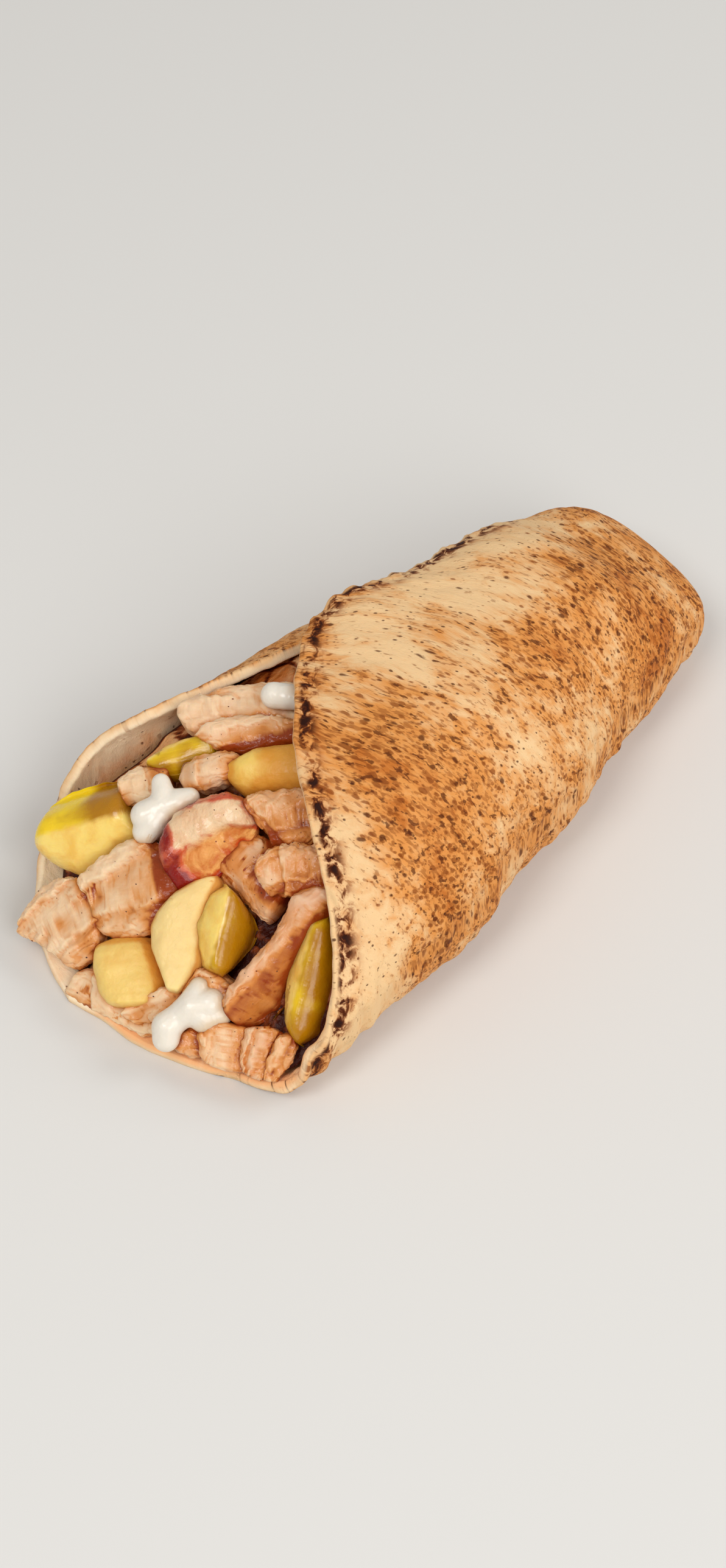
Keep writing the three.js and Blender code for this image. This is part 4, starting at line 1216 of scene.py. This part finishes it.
pickleFinish = {
    "rind": "#f8d222", "deepRind": "#b27804", "rindShade": "#9a6f10", "flesh": "#fbda78",
    # contact: a brown painted as shade where the pickle touches other pieces
    "deepFlesh": "#efbe56", "contact": "#8a5206",
    "shader": {"Specular IOR Level": 0.35, "Coat Weight": 0.18, "Coat Roughness": 0.1,
               "Subsurface Weight": 0.3, "Subsurface Radius": (1.0, 0.7, 0.1), "Subsurface Scale": 0.004},
}


def pickleShape(a, w, sizes, seed):
    # the rind falls away in a round, the cut flesh in a plane, from the edge between them
    place = np.stack([a, w], -1)
    past = (w - sizes["edge"] - sizes["edgeLean"] * a) * (1 if sizes["rindAbove"] else -1)
    relief = -softPast(past, 0.5) ** 2 / (2 * sizes["roundRind"]) - softPast(-past, 0.5) * sizes["fleshSlope"]
    relief = relief + 0.07 * uneven(place / (2.5, 1.0), 5, seed)
    green = sizes["green"] + 0.2 * uneven(place, 12, seed) + sizes.get("greener", 0.05) * np.maximum(past, 0)
    green = green + sizes.get("darkEnd", 0.0) * smoothStep(-4, 10, a)
    wobble = 0.35 * uneven(place, 5, seed + 4)
    return relief, {"rind": smoothStep(-0.6, 0.6, past + wobble), "green": green}


def pickleMaterial():
    tone = pickleFinish
    material, tree, place = startMaterial("pickle", tone)
    clouds = cloudy(place, 0.006, 4, distortion=0.4)
    streaks = cloudy(mapPlace(tree, "grain"), (12, 1.6, 1), 4)
    green = attribute(tree, "green") + (streaks * 0.5 - 0.25)
    rind = tint(tone["rind"], tone["deepRind"], green, 0.0, 0.9)
    rind = tint(rind, tone["rindShade"], clouds, 0.6, 0.8, 0.2)
    flesh = tint(tone["flesh"], tone["deepFlesh"], clouds, 0.35, 0.7)
    skin = blend(attribute(tree, "rind"), flesh, rind)
    # painted shade: browner where the pickle touches other pieces
    skin = tint(skin, tone["contact"], attribute(tree, "contact"), 0.4, 1.0, 0.5)
    relief = streaks * 0.8 + cloudy(place, 0.0022, 2)
    return endMaterial(material, skin, relief, 0.0002, fade(clouds, 0.3, 0.7, 0.18, 0.34))


picklePieces = loftPieces(pickleSpears, 21, pickleMaterial(), pickleShape)
print("pickles made")

# ---- boiled potato, cut in blocks with flat sides
# facets: each a side that falls away past a line: a and w of the line's normal, its place, the slope; a
# fallen side is painted darker as shade

potatoChunks = {
    "potato_back": {
        "from": (-88, 14, 36), "to": (-69, -6, 43), "face": (-0.47, -0.16, 0.87), "thick": 14,
        "outline": [(-11.5, 1), (-9.5, 3.5), (-3, 6), (6, 6), (12, 4.5), (12, -5.5), (6, -6), (0, -5.5),
            (-6, -6), (-9.5, -2.5)], "torn": 0.08, "facets": [(-0.1, -1.0, 1.2, 0.45),
            (0.0, 1.0, 1.0, 0.15), (-1.0, 0.0, 7.0, 0.5)], "floury": 0.0, "soaked": 1.5,
    },
    "potato_low": {
        "from": (-121, 8, 14), "to": (-134, -6, 5), "face": (-0.52, -0.19, 0.83), "thick": 14,
        "outline": [(-8.5, -3), (-8.5, 5.5), (-3.5, 7.5), (2, 9), (5.5, 9), (9, 6), (9.5, 0.5), (8, -5),
            (5, -7.5), (-1.5, -9), (-6.5, -8.5)], "torn": 0.08, "facets": [(-1.0, -0.1, 5.0, 0.8),
            (-0.32, 0.95, 4.4, 0.75), (0.3, -0.95, 6.0, 0.5)], "floury": 0.25,
    },
    "potato_mid": {
        "from": (-103, 1, 28), "to": (-126, -13, 11), "face": (-0.5, -0.25, 0.83), "thick": 14,
        "outline": [(-14.5, 4), (-12, 6), (-7, 4), (-2.5, 4), (5.5, 6), (10.5, 3.5), (15, 1.5),
            (15, -1), (10, -4.5), (5.5, -8), (0.5, -9.5), (-3, -9), (-8.5, -5.5), (-12, -1.5)],
        "torn": 0.08, "facets": [(0.0, 1.0, 3.0, 0.9), (0.0, -1.0, 5.0, 0.35), (-0.8, -0.6, 8.0, 0.5)],
        "floury": 0.8,
    },
}

potatoFinish = {
    "light": "#f3cd6c", "deep": "#e9b54e", "floury": "#f3d594", "stain": "#dc8e24",
    "shader": {"Specular IOR Level": 0.3, "Subsurface Weight": 0.3, "Subsurface Radius": (1.0, 0.7, 0.25),
               "Subsurface Scale": 0.004},
}


def potatoShape(a, w, sizes, seed):
    place = np.stack([a, w], -1)
    relief = 0.15 * uneven(place, 8, seed) + 0.05 * uneven(place, 1.6, seed + 3, 1)
    fallen = np.zeros(a.shape)
    for normalA, normalW, reach, slope in sizes["facets"]:
        past = softPast(normalA * a + normalW * w - reach, 1.2)
        relief = relief - past * slope
        fallen = np.maximum(fallen, smoothStep(0.2, 2.0, past) * min(slope, 1))
    # darker amber towards the end that the centre line runs to
    soaked = sizes.get("soaked", 0.0) * smoothStep(-9, 6, a)
    return relief, {"fallen": fallen + soaked, "floury": sizes["floury"]}


def potatoMaterial():
    tone = potatoFinish
    material, tree, place = startMaterial("potato", tone)
    clouds = cloudy(place, 0.008, 4, distortion=0.3)
    skin = tint(tone["light"], tone["deep"], clouds, 0.35, 0.7)
    skin = blend(attribute(tree, "floury"), skin, tone["floury"])
    # painted shade: amber on the sides that fall away and where other pieces touch, also darker towards the
    # edges and towards one end
    stained = attribute(tree, "fallen") + attribute(tree, "edge") * 0.5 + (clouds * 0.8 - 0.5)
    stained = stained + attribute(tree, "contact") * 0.8
    skin = tint(skin, tone["stain"], stained, 0.4, 1.2, 0.75)
    rough = fade(clouds, 0.3, 0.7, 0.34, 0.5)
    return endMaterial(material, skin, cloudy(place, 0.0015, 4), 0.00025, rough)


potatoPieces = loftPieces(potatoChunks, 31, potatoMaterial(), potatoShape)
print("potato made")

# ---- garlic sauce in thick dollops

sauceDollops = {
    # strings of balls, each x, y, z and radius, that the sauce is drawn along
    "sauce_back": [
        [(-67.5, 15.5, 49.5, 3.3), (-66, 13, 50, 3.2), (-64, 10.5, 50, 3.0), (-62.5, 8.5, 49.5, 2.8)],
    ],
    "sauce_mid": [
        [(-99, 21, 38.5, 2.3), (-100.5, 18.5, 37.2, 2.9), (-102, 17, 35.5, 3.7), (-106, 19, 34, 3.6)],
        [(-102, 17, 35.5, 3.7), (-105.5, 17, 33, 4.0), (-108, 16.8, 31.6, 3.2)],
        [(-102, 17, 35.5, 3.7), (-99, 15, 36.6, 3.3), (-96.5, 13.6, 37.5, 2.4)],
    ],
    "sauce_low": [
        [(-134.5, -19, 10, 3.3), (-133, -17.8, 12, 3.7), (-130, -18.3, 13.2, 3.3), (-126.5, -19.5, 15, 4.0),
         (-123, -22, 15.4, 4.0)],
        [(-126.5, -19.5, 15, 4.0), (-126, -23, 13.4, 3.4), (-122.8, -24.8, 14, 3.0)],
        [(-126.5, -19.5, 15, 4.0), (-122.5, -17.6, 17.5, 2.4)],
    ],
}
sauceSizes = {"step": 0.25, "voxel": 0.00034, "smoothing": 9}
sauceFinish = {
    "white": "#e9e0d1", "contact": "#d6b488",
    "shader": {"Roughness": 0.28, "Subsurface Weight": 0.3, "Subsurface Radius": (1.0, 0.8, 0.6),
               "Subsurface Scale": 0.003},
}


def sauceMaterial():
    material, tree, place = startMaterial("garlicSauce", sauceFinish)
    # painted shade: creamy brown where the sauce touches other pieces
    skin = tint(sauceFinish["white"], sauceFinish["contact"], attribute(tree, "contact"), 0.2, 1.0, 0.7)
    return endMaterial(material, skin, cloudy(place, 0.003, 2), 0.0003)


def pourSauce(node, strings, material):
    work = bmesh.new()
    for string in strings:
        for one, other in zip(string, string[1:]):
            one, other = np.array(one), np.array(other)
            count = max(int(np.linalg.norm(other[:3] - one[:3]) / (sauceSizes["step"] * one[3])), 1)
            for k in range(count + 1):
                ball = one + (other - one) * smoothStep(0, 1, k / count)
                made = bmesh.ops.create_icosphere(work, subdivisions=3, radius=ball[3] * 0.001)
                bmesh.ops.translate(work, verts=made["verts"], vec=Vector((ball[:3] - wrapMiddle) * 0.001))
    mesh = bpy.data.meshes.new(node)
    work.to_mesh(mesh)
    work.free()
    mesh.materials.append(material)
    piece = addObject(pieceName(node), mesh)
    remesh = piece.modifiers.new("oneSkin", "REMESH")
    remesh.mode = "VOXEL"
    remesh.voxel_size = sauceSizes["voxel"]
    remesh.use_smooth_shade = True
    soften = piece.modifiers.new("soften", "SMOOTH")
    soften.factor = 0.5
    soften.iterations = sauceSizes["smoothing"]
    bake(piece)
    piece["node"] = node
    return piece


sauceSkin = sauceMaterial()
saucePieces = [pourSauce(node, strings, sauceSkin) for node, strings in sauceDollops.items()]
print("sauce made")

foodPieces = chickenPieces + [glazedPiece] + picklePieces + potatoPieces + saucePieces
nearness(foodPieces, [corePiece, breadPiece])
print("contacts found")

# ---- specks of spice on the food, scattered by Geometry Nodes

spice = {
    # the node tree's inputs, in metres
    "inputs": {"Per square metre": 26000.0, "Smallest": 0.0001, "Largest": 0.00028, "Seed": 7},
    "tone": "#8a4416", "otherTone": "#43200d",
    "shader": {"Roughness": 0.5},
}


def spiceMaterial():
    material, _, place = startMaterial("spice", spice)
    return endMaterial(material, tint(spice["tone"], spice["otherTone"], cloudy(place, 0.004, 1), 0.4, 0.6))


def makeSpiceTree(pieces, material):
    tree = bpy.data.node_groups.new("scatteredSpice", "GeometryNodeTree")
    sockets = {}
    for name, value in spice["inputs"].items():
        kind = "NodeSocketInt" if isinstance(value, int) else "NodeSocketFloat"
        sockets[name] = tree.interface.new_socket(name, in_out="INPUT", socket_type=kind)
    tree.interface.new_socket("Geometry", in_out="OUTPUT", socket_type="NodeSocketGeometry")
    outputs = addNode(tree, "NodeGroupInput").outputs
    given = {name: Value(outputs[name]) for name in sockets}
    joined = addNode(tree, "GeometryNodeJoinGeometry")
    for piece in pieces:
        info = addNode(tree, "GeometryNodeObjectInfo", {"Object": piece})
        plug(Value(info.outputs["Geometry"]), joined.inputs[0])
    tests = []
    for name, limit, operation in (("upward", 0.5, "GREATER_THAN"), ("contact", 0.75, "LESS_THAN")):
        read = addNode(tree, "GeometryNodeInputNamedAttribute", {"Name": name}, data_type="FLOAT").outputs[0]
        tests.append(result("FunctionNodeCompare", {0: Value(read), 1: limit}, data_type="FLOAT",
                            operation=operation))
    both = result("FunctionNodeBooleanMath", dict(enumerate(tests)), operation="AND")
    scatter = addNode(tree, "GeometryNodeDistributePointsOnFaces",
                      {"Mesh": Value(joined.outputs[0]), "Selection": both, "Seed": given["Seed"],
                       "Density": given["Per square metre"]}).outputs
    speck = Value(addNode(tree, "GeometryNodeMeshIcoSphere", {"Radius": 1.0, "Subdivisions": 1}).outputs[0])
    ranges = ({2: given["Smallest"], 3: given["Largest"]}, {2: 0.55, 3: 1.0, "Seed": given["Seed"]})
    size, width = (result("FunctionNodeRandomValue", limits, 1, data_type="FLOAT") for limits in ranges)
    scale = result("ShaderNodeCombineXYZ", {0: size, 1: size * width, 2: size * 0.45})
    placed = result("GeometryNodeInstanceOnPoints",
                    {"Points": Value(scatter["Points"]), "Instance": speck,
                     "Rotation": Value(scatter["Rotation"]), "Scale": scale})
    real = result("GeometryNodeRealizeInstances", {"Geometry": placed})
    dressed = result("GeometryNodeSetMaterial", {"Geometry": real, "Material": material})
    plug(dressed, addNode(tree, "NodeGroupOutput").inputs[0])
    return tree, sockets


def scatterSpice(pieces):
    tree, sockets = makeSpiceTree(pieces, spiceMaterial())
    piece = addObject("spiceSpecks", bpy.data.meshes.new("spiceSpecks"))
    scatter = piece.modifiers.new("scatter", "NODES")
    scatter.node_group = tree
    for name, value in spice["inputs"].items():
        scatter[sockets[name].identifier] = value
    return bake(piece)


spicePiece = scatterSpice(chickenPieces + [glazedPiece])
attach(spicePiece, "root")
print("spice scattered:", len(spicePiece.data.polygons) // 20, "specks")

for pieces, slot in ((chickenPieces, "chicken"), ([glazedPiece], "glazed_chicken"), (picklePieces, "pickle"),
                     (potatoPieces, "potato"), (saucePieces, "sauce")):
    for piece in pieces:
        node = piece["node"]
        del piece["node"]
        settle(piece, node)
